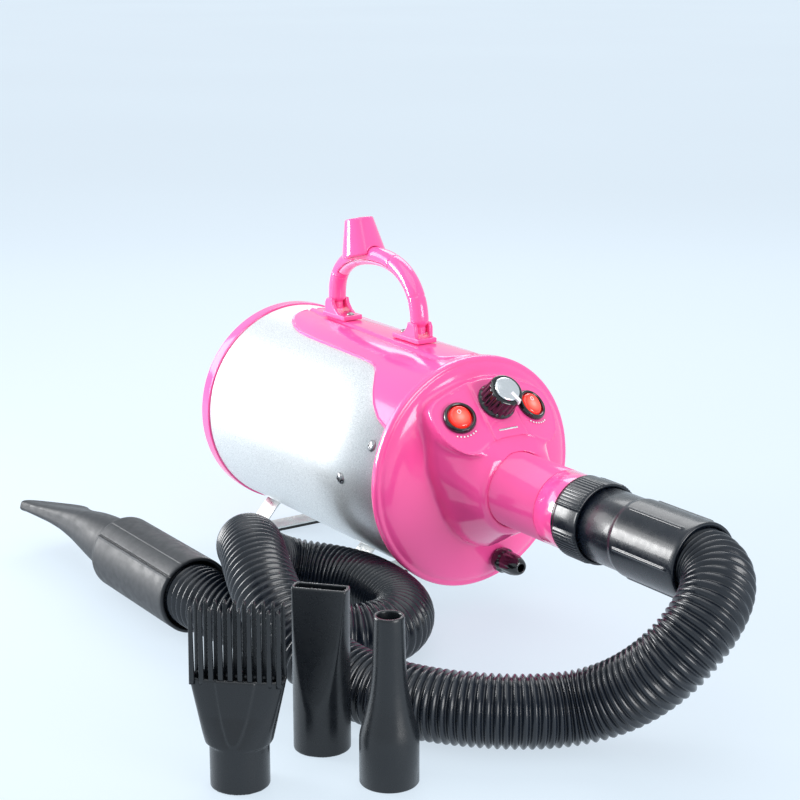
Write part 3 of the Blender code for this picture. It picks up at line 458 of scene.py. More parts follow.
# ---------------------------------------------------------------- camera


def make_camera():
    lens = bpy.data.cameras.new("camera")
    lens.lens = 81.85
    lens.sensor_width = 36.0
    lens.clip_start = 0.01
    camera = bpy.data.objects.new("camera", lens)
    camera.location = (1.1650, -0.7908, 0.5039)
    camera.rotation_euler = (math.radians(75.617), 0, math.radians(55.783))
    bpy.context.scene.collection.objects.link(camera)
    bpy.context.scene.camera = camera


# ---------------------------------------------------------------- hose

RIB_PITCH = 0.0052
RIB_DEPTH = 0.0026
RIB_STEPS = 10  # points of the path in one rib


def make_hose():
    """The corrugated hose: round ribs and narrow valleys, spreading on the outside of each bend."""
    path = smooth_curve(HOSE_ROUTE, RIB_PITCH / RIB_STEPS)
    sides, overs = carried_sides(path)
    run = np.arange(len(path)) / RIB_STEPS
    wave = (0.5 + 0.5 * np.cos(2 * math.pi * run)) ** 0.62
    radii = HOSE_R - RIB_DEPTH * (1 - wave)
    turn = np.linspace(0, 2 * math.pi, 48, endpoint=False)
    cos, sin = np.cos(turn)[:, None], np.sin(turn)[:, None]
    rows = []
    for centre, radius, side, over in zip(path, radii, sides, overs):
        rows.append((centre + radius * (cos * side + sin * over)).tolist())
    hose = finished("corrugated_hose", skinned(rows), HOSE, nodes=("hose",))


# ---------------------------------------------------------------- barrel, caps


def make_barrel():
    end = FLANGE_REAR_X - 0.0003
    bm = turned([
        (-0.1586, 0.0853), (-0.1583, 0.0856), (-0.1571, 0.0857), (-0.1560, 0.0855), (0.0, BARREL_R),
        (end, BARREL_R), (end, 0.0840), (-0.1586, 0.0840),
    ], 256)
    finished("rolled_barrel", moved(bm, ON_AXIS), BARREL, nodes=("barrel",))
    bm = turned([
        (-0.1589, 0.0858), (-0.1592, 0.0868), (-0.1600, 0.0872), (-0.1690, 0.0871), (-0.1705, 0.0868),
        (-0.1722, 0.0858), (-0.1735, 0.0842), (-0.1740, 0.0822), (-0.1739, 0.0800), (-0.1728, 0.0785),
        (-0.1722, 0.0765), (-0.1722, 0.0690), (-0.1735, 0.0678), (-0.1737, 0.0670), (-0.1730, 0.0665),
        (-0.1670, 0.0665), (-0.1670, 0.0810), (-0.1460, 0.0810), (-0.1460, 0.0837), (-0.1589, 0.0837),
    ], 192)
    finished("moulded_rear_cap", moved(bm, ON_AXIS), PINK, nodes=("rear_cap",), bevel=0.0003)


def screw_head(name, at, nodes, radius, height):
    """A pan head with a crossed recess."""
    steps = 8
    turns = [math.pi / 2 * t / steps for t in range(steps)]
    dome = [(0.0003 + height * math.sin(turn), radius * math.cos(turn) ** 0.7) for turn in turns]
    shank = [(0.0003, radius * 0.45), (-0.0010, radius * 0.45), (-0.0010, 0)]
    bm = turned([(0.0003 + height, 0.0)] + dome[::-1] + shank, 48)
    obj = finished(name, moved(bm, at), SCREW, nodes=nodes)
    arm = radius * 0.62
    for number, turn in enumerate((0.35, 0.35 + math.pi / 2)):
        blade = bmesh.new()
        size = Matrix.Diagonal((height * 1.4, 2 * arm, radius * 0.26, 1))
        spot = at @ Matrix.Translation((0.0003 + height * 1.15, 0, 0)) @ Matrix.Rotation(turn, 4, "X") @ size
        bmesh.ops.create_cube(blade, size=1.0, matrix=spot)
        tool = in_scene(f"{name}_recess_{number}", blade)
        cut = obj.modifiers.new(tool.name, "BOOLEAN")
        cut.operation = "DIFFERENCE"
        cut.object = tool
        bpy.context.view_layer.update()
        graph = bpy.context.evaluated_depsgraph_get()
        result = bpy.data.meshes.new_from_object(obj.evaluated_get(graph))
        obj.modifiers.clear()
        obj.data = result
        bpy.data.objects.remove(tool, do_unlink=True)
    obj.data.shade_smooth()
    obj.data.set_sharp_from_angle(angle=math.radians(40))


def make_barrel_screws():
    number = 0
    for x, degrees in ((0.084, 70.0), (0.048, 92.5)):
        for side in (-1, 1):
            number += 1
            turn = math.radians(degrees)
            out = Vector((0, side * math.sin(turn), math.cos(turn)))
            at = frame_along(Vector((x, 0, AXIS_Z)) + out * BARREL_R, out, (1, 0, 0))
            screw_head(f"pan_head_{number}", at, (f"barrel_screw_{number}",), 0.0045, 0.0022)


# ---------------------------------------------------------------- front cover


def panel_normal(side):
    normal = Vector((math.cos(PANEL_TILT), 0, math.sin(PANEL_TILT)))
    return Matrix.Rotation(side * LOBE_TURN, 3, UP_PANEL) @ normal


def facet_matrix(side, along_y, rise):
    """+X out of a panel facet, +Z up it. side is -1, 0 or 1 along Y."""
    normal = panel_normal(side)
    if not side:
        return frame_along(PANEL_EDGE + UP_PANEL * rise, normal, UP_PANEL)
    outward = UP_PANEL.cross(normal) * side
    reach = (abs(along_y) - STRIP_HALF_WIDTH) / abs(outward.y)
    spot = PANEL_EDGE + Vector((0, side * STRIP_HALF_WIDTH, 0)) + UP_PANEL * rise + outward * reach
    return frame_along(spot, normal, UP_PANEL)


PANEL_OUTLINE = [
    (0, 146.0), (15, 146.0), (22, 142.5), (30, 138.5), (37, 138.0), (44, 140.5), (50, 146.0), (53, 153.0),
    (54, 160.0), (53, 166.0), (48, 171.0), (42, 174.0), (30, 178.5), (16, 182.5), (0, 184.0),
]
RIDGE = {0: 55, 15: 52, 26: 49.5, 43: 45.6, 65: 42.5, 86: 44.2, 100: 49, 114: 54.5, 125: 62, 137: 68, 150: 58,
         165: 46, 180: 41}


def rounded_outline(points, passes=2):
    """Cuts the corners of a closed outline, again and again, until it is smooth."""
    loop = [np.array(p, float) for p in points]
    for _ in range(passes):
        cut = []
        for here, there in zip(loop, loop[1:] + loop[:1]):
            cut += [here * 0.75 + there * 0.25, here * 0.25 + there * 0.75]
        loop = cut
    return np.array(loop)


def outline_distance(y, z, loop):
    """Signed distance to a closed outline, negative inside."""
    nearest = np.full(y.shape, 1e9)
    inside = np.zeros(y.shape, bool)
    for (y0, z0), (y1, z1) in zip(loop, np.roll(loop, -1, axis=0)):
        dy, dz = y1 - y0, z1 - z0
        t = np.clip(((y - y0) * dy + (z - z0) * dz) / (dy * dy + dz * dz), 0, 1)
        nearest = np.minimum(nearest, np.hypot(y - y0 - t * dy, z - z0 - t * dz))
        crosses = (z0 > z) != (z1 > z)
        inside ^= crosses & (y < y0 + (z - z0) * dy / (dz if dz else 1e-9))
    return np.where(inside, -nearest, nearest)


def cover_field(points):
    """The front cover in mm: flange, dome, panel block and outlet boss, blended, with its holes."""
    x, y, z = points.T * 1000
    up = z - AXIS_Z * 1000
    r = np.hypot(y, up)
    axial = np.abs(x - 99.1) - 3.9
    radial = r - 90.0
    flange = np.hypot(np.maximum(axial + 2.6, 0), np.maximum(radial + 2.6, 0)) - 2.6
    flange = flange + np.minimum(np.maximum(axial + 2.6, radial + 2.6), 0)
    rise = np.maximum(x - 102.2, 0)
    value = (rise / 10.0) ** 2 + (r / 85.5) ** 2.6 - 1
    slope = np.hypot(2 * rise / 100, 2.6 * np.maximum(r, 1) ** 1.6 / 85.5**2.6)
    dome = value / np.maximum(slope, 0.012)
    dome = smooth_most(dome, 0.7 - np.hypot(r - 86.4, x - 103.4), 0.5)
    loop = rounded_outline(PANEL_OUTLINE + [(-a, b) for a, b in PANEL_OUTLINE[-2:0:-1]])
    block = outline_distance(y, z, loop)
    faces = []
    for side in (0, -1, 1):
        normal = panel_normal(side)
        edge = (PANEL_EDGE + Vector((0, side * STRIP_HALF_WIDTH, 0))) * 1000
        faces.append((x - edge.x) * normal.x + (y - edge.y) * normal.y + (z - edge.z) * normal.z)
    lobes = smooth_most(faces[1], faces[2], 0.6)
    facets = smooth_most(lobes, faces[0] + 1.3, 0.5)
    strip = smooth_most(faces[0] - 0.1, np.abs(y) - STRIP_HALF_WIDTH * 1000, 0.5)
    strip = smooth_most(smooth_most(strip, block + 0.4, 0.5), -(faces[0] + 6), 0.8)
    wrapped = np.abs((np.arange(-60, 241) + 180) % 360 - 180)
    bell = np.exp(-((np.arange(-12, 13) / 5.0) ** 2))
    soft = np.convolve(np.interp(wrapped, list(RIDGE), list(RIDGE.values())), bell / bell.sum(), "same")
    ridge = np.interp(np.degrees(np.arctan2(np.abs(y), -up)), np.arange(-60, 241), soft)
    slant = (ridge - 33.5) / 36.0
    cone = (r - ridge + slant * (x - 121.0)) / np.sqrt(1 + slant**2)
    boss = smooth_most(smooth_most(r - ridge, cone, 2.2), x - 158.2, 5.0)
    capped = smooth_most(block, facets, 0.5)
    body = smooth_most(smooth_least(capped, boss, 7.0), facets + 0.8, 0.8)
    body = smooth_least(body, capped, 0.3)
    pocket = smooth_most(smooth_most(block + 1.3, -(lobes + 0.5), 0.3), 15.6 - np.abs(y), 0.3)
    body = smooth_least(smooth_most(body, -pocket, 0.3), strip, 0.3)
    outer = smooth_least(flange, dome, 1.0)
    outer = smooth_least(outer, body, 3.5)
    shell = np.maximum(outer, -(outer + 2.6))
    shell = np.maximum(shell, 95.4 - x)
    pipe = r - (PIPE_R * 1000 + 0.35)
    gland = np.hypot(y - GLAND_AT.y * 1000, z - GLAND_AT.z * 1000) - 5.4
    return smooth_most(shell, -np.minimum(pipe, gland), 0.8) / 1000


def make_front_cover():
    bm = implicit_mesh(cover_field, (0.0935, -0.092, 0.0155), (0.161, 0.092, 0.2005), 0.0012)
    finished("moulded_front_cover", bm, PINK, nodes=("front_cover",))


def make_switches():
    for side, name in ((-1, "heat"), (1, "fan")):
        at = facet_matrix(side, SWITCH_Y[side], ROCKER_RISE)
        bm = turned([
            (0.0003, 0.0126), (0.0010, 0.0127), (0.0026, 0.0123), (0.0036, 0.0114), (0.0037, 0.0106),
            (0.0032, 0.0098), (0.0020, 0.0095), (-0.0040, 0.0094), (-0.0040, 0.0030), (-0.0125, 0.0030),
            (-0.0125, 0.0100), (0.0003, 0.0100),
        ], 96)
        finished(f"{name}_switch_bezel", moved(bm, at), BLACK, nodes=(f"{name}_bezel",),
                 bevel=0.0002)
        rows = []
        for share in np.linspace(-1, 1, 25):
            reach = ROCKER_R * math.sqrt(max(1 - share * share, 0.004))
            row = []
            for t in np.linspace(-1, 1, 21):
                y, z = ROCKER_R * share, reach * t
                edge = math.hypot(y, z) / ROCKER_R
                up = z / ROCKER_R
                crown = 0.0050 - 0.0010 * (1 - up**2) + 0.0006 * z / ROCKER_R - 0.0022 * edge**10
                row.append((crown, y, z))
            row += [(-0.0015, y, reach), (-0.0015, y, -reach)]
            rows.append(row)
        rocker = finished(f"{name}_lens", skinned(rows), LENS, f"{name}_switch",
                          (f"{name}_rocker",))
        rocker.matrix_world = at
        ring = turned([(0.0047, 0.0012), (0.0047, 0.0016), (0.0042, 0.0016), (0.0042, 0.0012)], 24)
        finished(f"{name}_lens_mark", moved(ring, at @ Matrix.Translation((0, 0, 0.0036))), WHITE,
                 f"{name}_switch")


def make_speed_control():
    at = facet_matrix(0, 0, KNOB_RISE)

    def flutes(x, radius, angle):
        deep = 0.0010 if 0.0035 < x < 0.0178 and radius > 0.010 else 0.0
        return radius - deep * (0.5 + 0.5 * math.cos(18 * angle)) ** 3

    bm = turned([
        (0.0006, 0.0046), (0.0006, 0.0148), (0.0010, 0.0152), (0.0020, 0.0152), (0.0028, 0.0147),
        (0.0038, 0.0140), (0.0100, 0.0137), (0.0168, 0.0134), (0.0178, 0.0128), (0.0183, 0.0118),
        (0.0184, 0.0104), (0.0180, 0.0102), (0.0180, 0.0), (0.0120, 0.0), (0.0120, 0.0046),
    ], 192, flutes)
    finished("fluted_knob", bm, BLACK, "knob", ("speed_knob",), bevel=0.00015).matrix_world = at
    cap = turned([
        (0.0197, 0.0), (0.0198, 0.0030), (0.0198, 0.0088), (0.0196, 0.0096), (0.0190, 0.0100),
        (0.0183, 0.0100), (0.0183, 0.0),
    ], 96)
    finished("spun_knob_cap", cap, SILVER, "knob", ("knob_cap",)).matrix_world = at
    fin = [(0.0186, -0.0040), (0.0202, -0.0040), (0.0202, -0.0128), (0.0165, -0.0139)]
    pointer = prism(fin, -0.0015, 0.0015, Matrix.Rotation(math.radians(24), 4, "X"))
    pointer = finished("knob_pointer", pointer, WHITE, "knob", bevel=0.0003)
    pointer.matrix_world = at


def make_panel_marks():
    """Plain printed marks: a widening wedge for speed, and a short arc of dots at each switch."""
    at = facet_matrix(0, 0, 0.0070)
    wedge = prism([(0.0002, 0.0), (0.00035, 0.0), (0.00035, 0.0014), (0.0002, 0.0002)], -0.0085, 0.0085, at)
    finished("speed_mark", wedge, WHITE)
    for side, name in ((-1, "heat"), (1, "fan")):
        base = facet_matrix(side, SWITCH_Y[side], ROCKER_RISE)
        dots = []
        for i in range(7):
            turn = math.radians(150 + 10 * i)
            spot = base @ Matrix.Translation((0.0001, 0.0152 * math.sin(turn), 0.0152 * math.cos(turn)))
            dots.append(moved(turned([(0.0003, 0), (0.0003, 0.0007), (0.0, 0.0007), (0.0, 0)], 16), spot))
        finished(f"{name}_marks", merged(dots), WHITE)


def make_gland():
    def facets(x, radius, angle):
        if x < 0.0068:
            return radius * (0.90 + 0.10 * abs(math.cos(3 * angle)) ** 0.5)
        if x < 0.019:
            return radius - 0.0006 * (0.5 + 0.5 * math.cos(10 * angle)) ** 2
        return radius

    bm = turned([
        (0.0003, 0.0094), (0.0012, 0.0097), (0.0062, 0.0097), (0.0072, 0.0092), (0.0080, 0.0084),
        (0.0100, 0.0086), (0.0180, 0.0082), (0.0200, 0.0076), (0.0225, 0.0068), (0.0248, 0.0056),
        (0.0258, 0.0044), (0.0258, 0.0034), (0.0250, 0.0032), (-0.0210, 0.0032), (-0.0210, 0.0050),
        (0.0003, 0.0050),
    ], 120, facets)
    gland = moved(bm, Matrix.Translation(GLAND_AT))
    finished("domed_gland", gland, BLACK, nodes=("cable_gland",))


def make_outlet():
    inner = 0.0255
    bm = turned([
        (0.1400, PIPE_R), (0.1505, PIPE_R), (0.1505, 0.0296), (0.1533, 0.0296), (0.1533, PIPE_R),
        (PIPE_SPLIT_X - 0.0004, PIPE_R), (PIPE_SPLIT_X, PIPE_R - 0.0004), (PIPE_SPLIT_X, inner),
        (0.1400, inner),
    ], 160)
    finished("outlet_tube", moved(bm, ON_AXIS), PINK, nodes=("outlet_pipe",))
    start = PIPE_SPLIT_X + 0.0003
    bm = turned([
        (start, PIPE_R - 0.0004), (start + 0.0004, PIPE_R), (0.2455, PIPE_R), (0.246, PIPE_R - 0.0005),
        (0.246, inner), (start + 0.008, inner), (start, 0.0232), (start - 0.012, 0.0232),
        (start - 0.012, 0.0252), (start, 0.0252),
    ], 160)
    finished("outlet_end", moved(bm, ON_AXIS), PINK, nodes=("outlet_tip",))


# ---------------------------------------------------------------- top saddle and handle

SADDLE_EDGE = [
    (-130.0, 4.0), (-129.3, 8.0), (-127.5, 12.0), (-124.0, 15.6), (-118.0, 18.8), (-106.0, 22.4),
    (-90.0, 25.2), (-60.0, 26.7), (-24.0, 27.6), (10.0, 28.6), (24.0, 29.4), (32.0, 31.0), (40.0, 34.6),
    (48.0, 39.8), (56.0, 45.4), (66.0, 51.4), (80.0, 57.2), (94.9, 60.3),
]
MOUND_EDGE = [
    (-128.0, 1.0), (-112.0, 3.0), (-90.0, 4.2), (-73.0, 4.9), (-40.0, 6.3), (0.0, 8.2), (40.0, 10.0),
    (66.0, 11.4), (76.0, 11.2), (82.0, 9.2), (86.0, 5.0), (87.5, 0.5),
]


def saddle_radius(x, degrees):
    """Radius of the saddle's outer face: a flank with a rolled edge, and a raised tongue on top."""
    edge = np.interp(x, *zip(*SADDLE_EDGE))
    mound = np.interp(x, *zip(*MOUND_EDGE))
    beyond = (abs(degrees) - mound) * 1.5
    step = 1 / (1 + np.exp(np.clip(beyond * 2.1, -40, 40)))
    crease = 0.85 * np.exp(-((beyond - 1.6) ** 2) / 1.6)
    from_edge = (edge - abs(degrees)) * 1.5
    rim = 0.45 * np.exp(-((from_edge - 0.9) ** 2) / 0.9)
    roll = 1.1 * np.clip(1 - from_edge / 1.2, 0, 1) ** 2
    fade = np.clip((94.9 - x) / 12, 0, 1)
    return 87.15 + (0.95 * step - crease) * fade + rim - roll


def make_top_saddle():
    stations = smooth_curve([(x, e, 0.0) for x, e in SADDLE_EDGE], 1.1)
    sweep = np.linspace(-1, 1, 141) * math.pi / 2 * 0.96
    upper, lower = [], []
    for x, edge, _ in stations:
        degrees = edge * np.sin(sweep) / math.sin(math.pi / 2 * 0.96)
        top, under = [], []
        for d in degrees:
            turn = math.radians(d)
            for row, radius in ((top, saddle_radius(x, d)), (under, 85.65)):
                r = radius / 1000
                row.append((x / 1000, r * math.sin(turn), AXIS_Z + r * math.cos(turn)))
        upper.append(top)
        lower.append(under)
    rows = [a + b[::-1] for a, b in zip(upper, lower)]
    finished("moulded_saddle", skinned(rows), PINK, nodes=("top_saddle",), bevel=0.0004, angle=50)


HANDLE_R = 0.0072
HANDLE_STEP = 0.0008
TANG = 0.0045  # the thin end that goes into each foot
GRIP_CUT = 0.0030
SEGMENT_LINES = (0.17, 0.36, 0.64, 0.85)


def make_handle():
    path = smooth_curve([(x, 0.0, z) for x, z in HANDLE_ROUTE], HANDLE_STEP)
    along = directions(path)
    inward = np.stack([along[:, 2], np.zeros(len(path)), -along[:, 0]], axis=1)
    count = len(path)
    first, last = round(0.20 * count), round(0.86 * count)
    arch, strip = [], []
    for i in range(count):
        share = i / (count - 1)
        near = min(abs(share - line) for line in SEGMENT_LINES) * count * HANDLE_STEP
        radius = HANDLE_R - 0.0006 * math.exp(-((near / 0.0005) ** 2))
        from_end = min(i, count - 1 - i) * HANDLE_STEP
        ball = TANG + HANDLE_R * 0.8
        if from_end < TANG:
            radius = 0.0048
        elif from_end < ball:
            radius = HANDLE_R * math.sqrt(max(1 - ((ball - from_end) / (HANDLE_R * 0.8)) ** 2, 0.42))
        ring, inlay = [], []
        for j in range(40):
            turn = 2 * math.pi * j / 40
            depth, out = radius * math.cos(turn), radius * math.sin(turn)
            cut = depth if not first <= i <= last else min(depth, GRIP_CUT)
            ring.append(tuple(path[i] + inward[i] * cut + np.array((0, out, 0))))
            deep = max(depth, GRIP_CUT + 0.0002) + 0.0003
            narrow = 0.92 if deep > GRIP_CUT + 0.0006 else 0.86
            inlay.append(tuple(path[i] + inward[i] * deep + np.array((0, out * narrow, 0))))
        arch.append(ring)
        if first < i < last:
            strip.append(inlay)
    finished("handle_tube", skinned(arch), PINK, nodes=("handle_arch",), bevel=0.00025, angle=40)
    finished("grip_inlay", skinned(strip), PALE, nodes=("grip_insert",), bevel=0.0003,
             angle=40)


def make_handle_feet():
    low, high = 0.1963, 0.2003
    feet = (("rear", (-0.099, -0.066), -0.090, 1), ("front", (0.004, 0.040), 0.029, -1))
    for name, (x0, x1), leg, lean in feet:
        plate = slab(x0, x1, 0.009, low, high)
        webs = []
        for side in (-1, 1):
            line = [(leg - lean * 0.0065, high - 0.001), (leg + lean * 0.015, high - 0.001)]
            line += [(leg + lean * (0.0045 + 0.0105 * (1 - t) ** 2.2), high + 0.0115 * t)
                     for t in np.linspace(0.05, 1, 9)]
            line += [(leg - lean * 0.0040, high + 0.0115), (leg - lean * 0.0062, high + 0.008)]
            low_y, high_y = sorted((side * 0.0052, side * 0.0086))
            webs.append(prism(line, low_y, high_y, Matrix()))
        finished(f"handle_base_{name}", merged([plate, *webs]), PINK,
                 nodes=(f"handle_foot_{name}",), bevel=0.0009, segments=3)
        x = x1 - 0.0045 if name == "rear" else x0 + 0.0045
        seat = Matrix.Translation((x, 0, high)) @ STAND_UP
        screw_head(f"handle_pan_head_{name}", seat, (f"handle_screw_{name}",), 0.0030, 0.0016)


def make_hose_rest():
    """The tapered post on the handle's crown, cupped at its top and saddled over the arch."""
    at = frame_along((-0.050, 0, 0.256), (-0.26, 0, 0.966), (0, 1, 0))

    def field(points):
        local = points @ np.array(at.to_3x3()) - np.array(at.translation) @ np.array(at.to_3x3())
        x, y, z = local.T * 1000
        r = np.hypot(y, z)
        cone = (r - (18.2 - 0.222 * (x + 3.7))) * 0.976
        body = smooth_most(smooth_most(cone, x - 27.0, 1.6), -3.7 - x, 1.6)
        cup = np.maximum(r - 10.0, 17.0 - x)
        body = smooth_most(body, -cup, 1.2)
        arch = np.full(len(points), 1e9)
        for centre in smooth_curve([(px, 0.0, pz) for px, pz in HANDLE_ROUTE], 0.004)[10:50]:
            arch = np.minimum(arch, np.linalg.norm((points - centre) * 1000, axis=1))
        return smooth_most(body, 7.55 - arch, 0.8) / 1000

    bm = implicit_mesh(field, (-0.078, -0.021, 0.240), (-0.026, 0.021, 0.290), 0.0009)
    finished("tapered_hose_rest", bm, PINK, nodes=("hose_rest",))


# ---------------------------------------------------------------- stands


def make_stands():
    thick, half_width, rubber_top = 0.0015, 0.0100, 0.0022
    for name, middle in (("front", 0.0), ("rear", -0.1484)):
        top_r = BARREL_R + 0.0003 + thick / 2
        base_z = rubber_top + 0.0003 + thick / 2
        arc = [(y, AXIS_Z - math.sqrt(top_r**2 - y**2)) for y in np.linspace(0.030, -0.030, 25)]
        loop = rounded_outline([(0.0500, base_z), *arc, (-0.0500, base_z), (-0.02, base_z), (0.02, base_z)])
        count = len(loop)
        rings = []
        for i in range(count):
            tangent = loop[(i + 1) % count] - loop[i - 1]
            tangent /= np.linalg.norm(tangent)
            normal = np.array((-tangent[1], tangent[0]))
            ring = []
            for x, out in ((-half_width, -1), (half_width, -1), (half_width, 1), (-half_width, 1)):
                point = loop[i] + normal * out * thick / 2
                ring.append((middle + x, point[0], point[1]))
            rings.append(ring)
        finished(f"bent_stand_{name}", skinned(rings, closed_along=True), STEEL,
                 nodes=(f"stand_{name}",), bevel=0.0003, angle=50)
        strip = slab(middle - half_width, middle + half_width, 0.052, 0.0, rubber_top)
        finished(f"rubber_strip_{name}", strip, RUBBER, nodes=(f"foot_strip_{name}",),
                 bevel=0.0006)
        for side, y in (("left", 0.036), ("right", -0.036)):
            seat = Matrix.Translation((middle, y, 0.0040)) @ STAND_UP
            screw_head(f"stand_pan_head_{name}_{side}", seat, (f"stand_screw_{name}_{side}",), 0.0040, 0.0022)


# ---------------------------------------------------------------- hose fittings


def make_hose_fittings():
    def knurl(x, radius, angle):
        """Four knurled tabs with smooth sunk bands between them."""
        if radius < 0.0292:
            return radius
        tab = math.degrees(angle) % 90
        inside = 1 / (1 + math.exp(-(min(tab - 4, 62 - tab)) * 2))
        teeth = 0.0005 * (0.5 + 0.5 * math.cos(78 * angle)) ** 0.7
        return radius - 0.0010 * (1 - inside) - teeth * inside

    bm = turned([
        (0.2300, 0.0286), (0.2304, 0.0291), (0.2315, 0.0294), (0.2325, 0.0301), (0.2340, 0.0302),
        (0.2540, 0.0302), (0.2550, 0.0299), (0.2558, 0.0291), (0.2560, 0.0280), (0.2560, 0.0268),
        (0.2463, 0.0268), (0.2463, 0.0283), (0.2300, 0.0283),
    ], 624, knurl)
    finished("knurled_collar", moved(bm, ON_AXIS), HOSE, "collar",
                                 ("hose_collar",))

    ribs = [math.radians(a) for a in (62, 118, 182, 242, 302, 2)]

    def raised(x, radius, angle):
        if radius < 0.0275 or not 0.293 < x < 0.3475:
            return radius
        near = min(abs((angle - rib + math.pi) % (2 * math.pi) - math.pi) for rib in ribs) * radius
        end = min(max(min(x - 0.2935, 0.3465 - x) / 0.0012, 0), 1)
        return radius + 0.00075 * end * max(0.0, 1 - (near / 0.0011) ** 4)

    body = [(0.2469, 0.0262), (0.2472, 0.0265), (0.2862, 0.0265), (0.2884, 0.0268), (0.2900, 0.0275),
            (0.2914, 0.0278)]
    body += [(x, 0.0278) for x in np.linspace(0.2925, 0.3485, 60)]
    body += [(0.3515, 0.0278), (0.3527, 0.0275), (0.3530, 0.0268), (0.3530, 0.0249), (0.3345, 0.0249),
             (0.3345, 0.0235), (0.2469, 0.0235)]
    sleeve = moved(turned(body, 360, raised), ON_AXIS)
    finished("ribbed_sleeve", sleeve, HOSE, nodes=("hose_sleeve",))

    def seam(x, radius, angle):
        """A long step in the cuff's wall: a thin proud lip beside a narrow slot, on the upper near side."""
        if radius < 0.0285:
            return radius
        off = math.degrees((angle - math.radians(142) + math.pi) % (2 * math.pi) - math.pi)
        lip = 0.0005 * math.exp(-((off / 1.1) ** 2))
        slot = 0.0013 * math.exp(-(((off + 3.2) / 1.2) ** 2))
        return radius + lip - slot - (0.0004 if -30 < off < -3 else 0.0)

    place = Matrix.Translation((0, CUFF_Y, CUFF_Z))
    body = [(0.0320, 0.0275), (0.0317, 0.0285)]
    body += [(x, 0.0290) for x in np.linspace(0.0308, -0.0855, 40)]
    body += [(-0.0870, 0.0284), (-0.0884, 0.0270), (-0.0890, 0.0250), (-0.0890, 0.0226), (-0.0884, 0.0218),
             (-0.0203, 0.0218), (-0.0203, 0.0265), (0.0320, 0.0265)]
    finished("seamed_cuff", moved(turned(body, 480, seam), place), SATIN,
                                 nodes=("end_cuff",))


def rounded_ring(half_width, half_thickness, power, count):
    """Points round a superellipse: an ellipse at power 1, and squarer below it."""
    ring = []
    for i in range(count):
        turn = 2 * math.pi * i / count
        c, s = math.cos(turn), math.sin(turn)
        ring.append((half_width * math.copysign(abs(c) ** power, c),
                     half_thickness * math.copysign(abs(s) ** power, s)))
    return ring


def make_wide_nozzle():
    wall, roll = 0.002, math.radians(16)
    known = [(-68, 21.5, 21.5, 0.0), (-94, 21.5, 21.5, 0.0), (-112, 21.3, 20.4, 0.8), (-130, 20.8, 17.2, 2.4),
             (-148, 20.6, 13.6, 3.6), (-166, 21.6, 10.2, 3.6), (-184, 24.0, 7.8, 2.6), (-205, 28.6, 5.9, 1.0),
             (-222, 31.6, 5.2, 0.0)]
    stations = [[np.interp(-x, [-k[0] for k in known], [k[c] for k in known]) if c else x for c in range(4)]
                for x in np.linspace(-68, -222, 78)]
    stations = np.array(stations)
    for column in (1, 2, 3):
        for _ in range(6):
            row = stations[:, column]
            stations[1:-1, column] = (row[:-2] + 2 * row[1:-1] + row[2:]) / 4
    outer, inner = [], []
    for x, half_width, half_thickness, lift in stations:
        lip = 0.5 if x < -220.5 else 0.0
        for rings, skin in ((outer, -lip), (inner, wall * 1000)):
            wide, thick = (half_width - skin) / 1000, (half_thickness - skin) / 1000
            power = 2 / (2.0 + 3.0 * (1 - min(1.0, thick / wide)))
            ring = []
            for across, up in rounded_ring(wide, thick, power, 96):
                y = across * math.cos(roll) + up * math.sin(roll)
                z = up * math.cos(roll) - across * math.sin(roll) + lift / 1000
                ring.append((x / 1000, CUFF_Y + y, CUFF_Z + z))
            rings.append(ring)
    bm = skinned(outer + inner[::-1], closed_along=True)
    finished("wide_slot_nozzle", bm, SATIN, "wide_nozzle_body", ("wide_nozzle",),
             bevel=0.0004, angle=45)


# ---------------------------------------------------------------- loose nozzles


def make_round_nozzle():
    at = Matrix.Translation((0.314, -0.220, 0)) @ STAND_UP
    bm = turned([
        (0.0, 0.0181), (0.0006, 0.0185), (0.0260, 0.0185), (0.0300, 0.0184), (0.0330, 0.0179),
        (0.0370, 0.0169), (0.0450, 0.0148), (0.0520, 0.0133), (0.0600, 0.0119), (0.0680, 0.0109),
        (0.0760, 0.0103), (0.1060, 0.0095), (0.1076, 0.0093), (0.1080, 0.0089), (0.1080, 0.0078),
        (0.1070, 0.0074), (0.0680, 0.0090), (0.0370, 0.0150), (0.0300, 0.0163), (0.0, 0.0163),
    ], 128)
    finished("round_cone_nozzle", moved(bm, at), CHARCOAL, "round_nozzle_body",
             ("round_nozzle",))


def make_flat_nozzle():
    place = Matrix.Translation((0.249, -0.228, 0)) @ Matrix.Rotation(math.radians(42), 4, "Z")
    place = np.array(place.inverted())

    def field(points):
        x, y, z = (points @ place[:3, :3].T + place[:3, 3]).T * 1000
        r = np.hypot(x, y)
        limit = 18.4 - 0.1575 * np.maximum(z - 29, 0)
        outer = smooth_most(r - 18.4, (np.abs(y) - limit) * 0.988, 1.0)
        outer = smooth_most(outer, np.abs(z - 54) - 54, 0.8)
        hollow = smooth_most(r - 16.4, np.abs(y) - (limit - 2.1), 1.0)
        return smooth_most(outer, -hollow, 0.7) / 1000

    bm = implicit_mesh(field, (0.228, -0.249, -0.0012), (0.270, -0.207, 0.1094), 0.0009)
    finished("flat_slot_nozzle", bm, CHARCOAL, "flat_nozzle_body", ("flat_nozzle",))


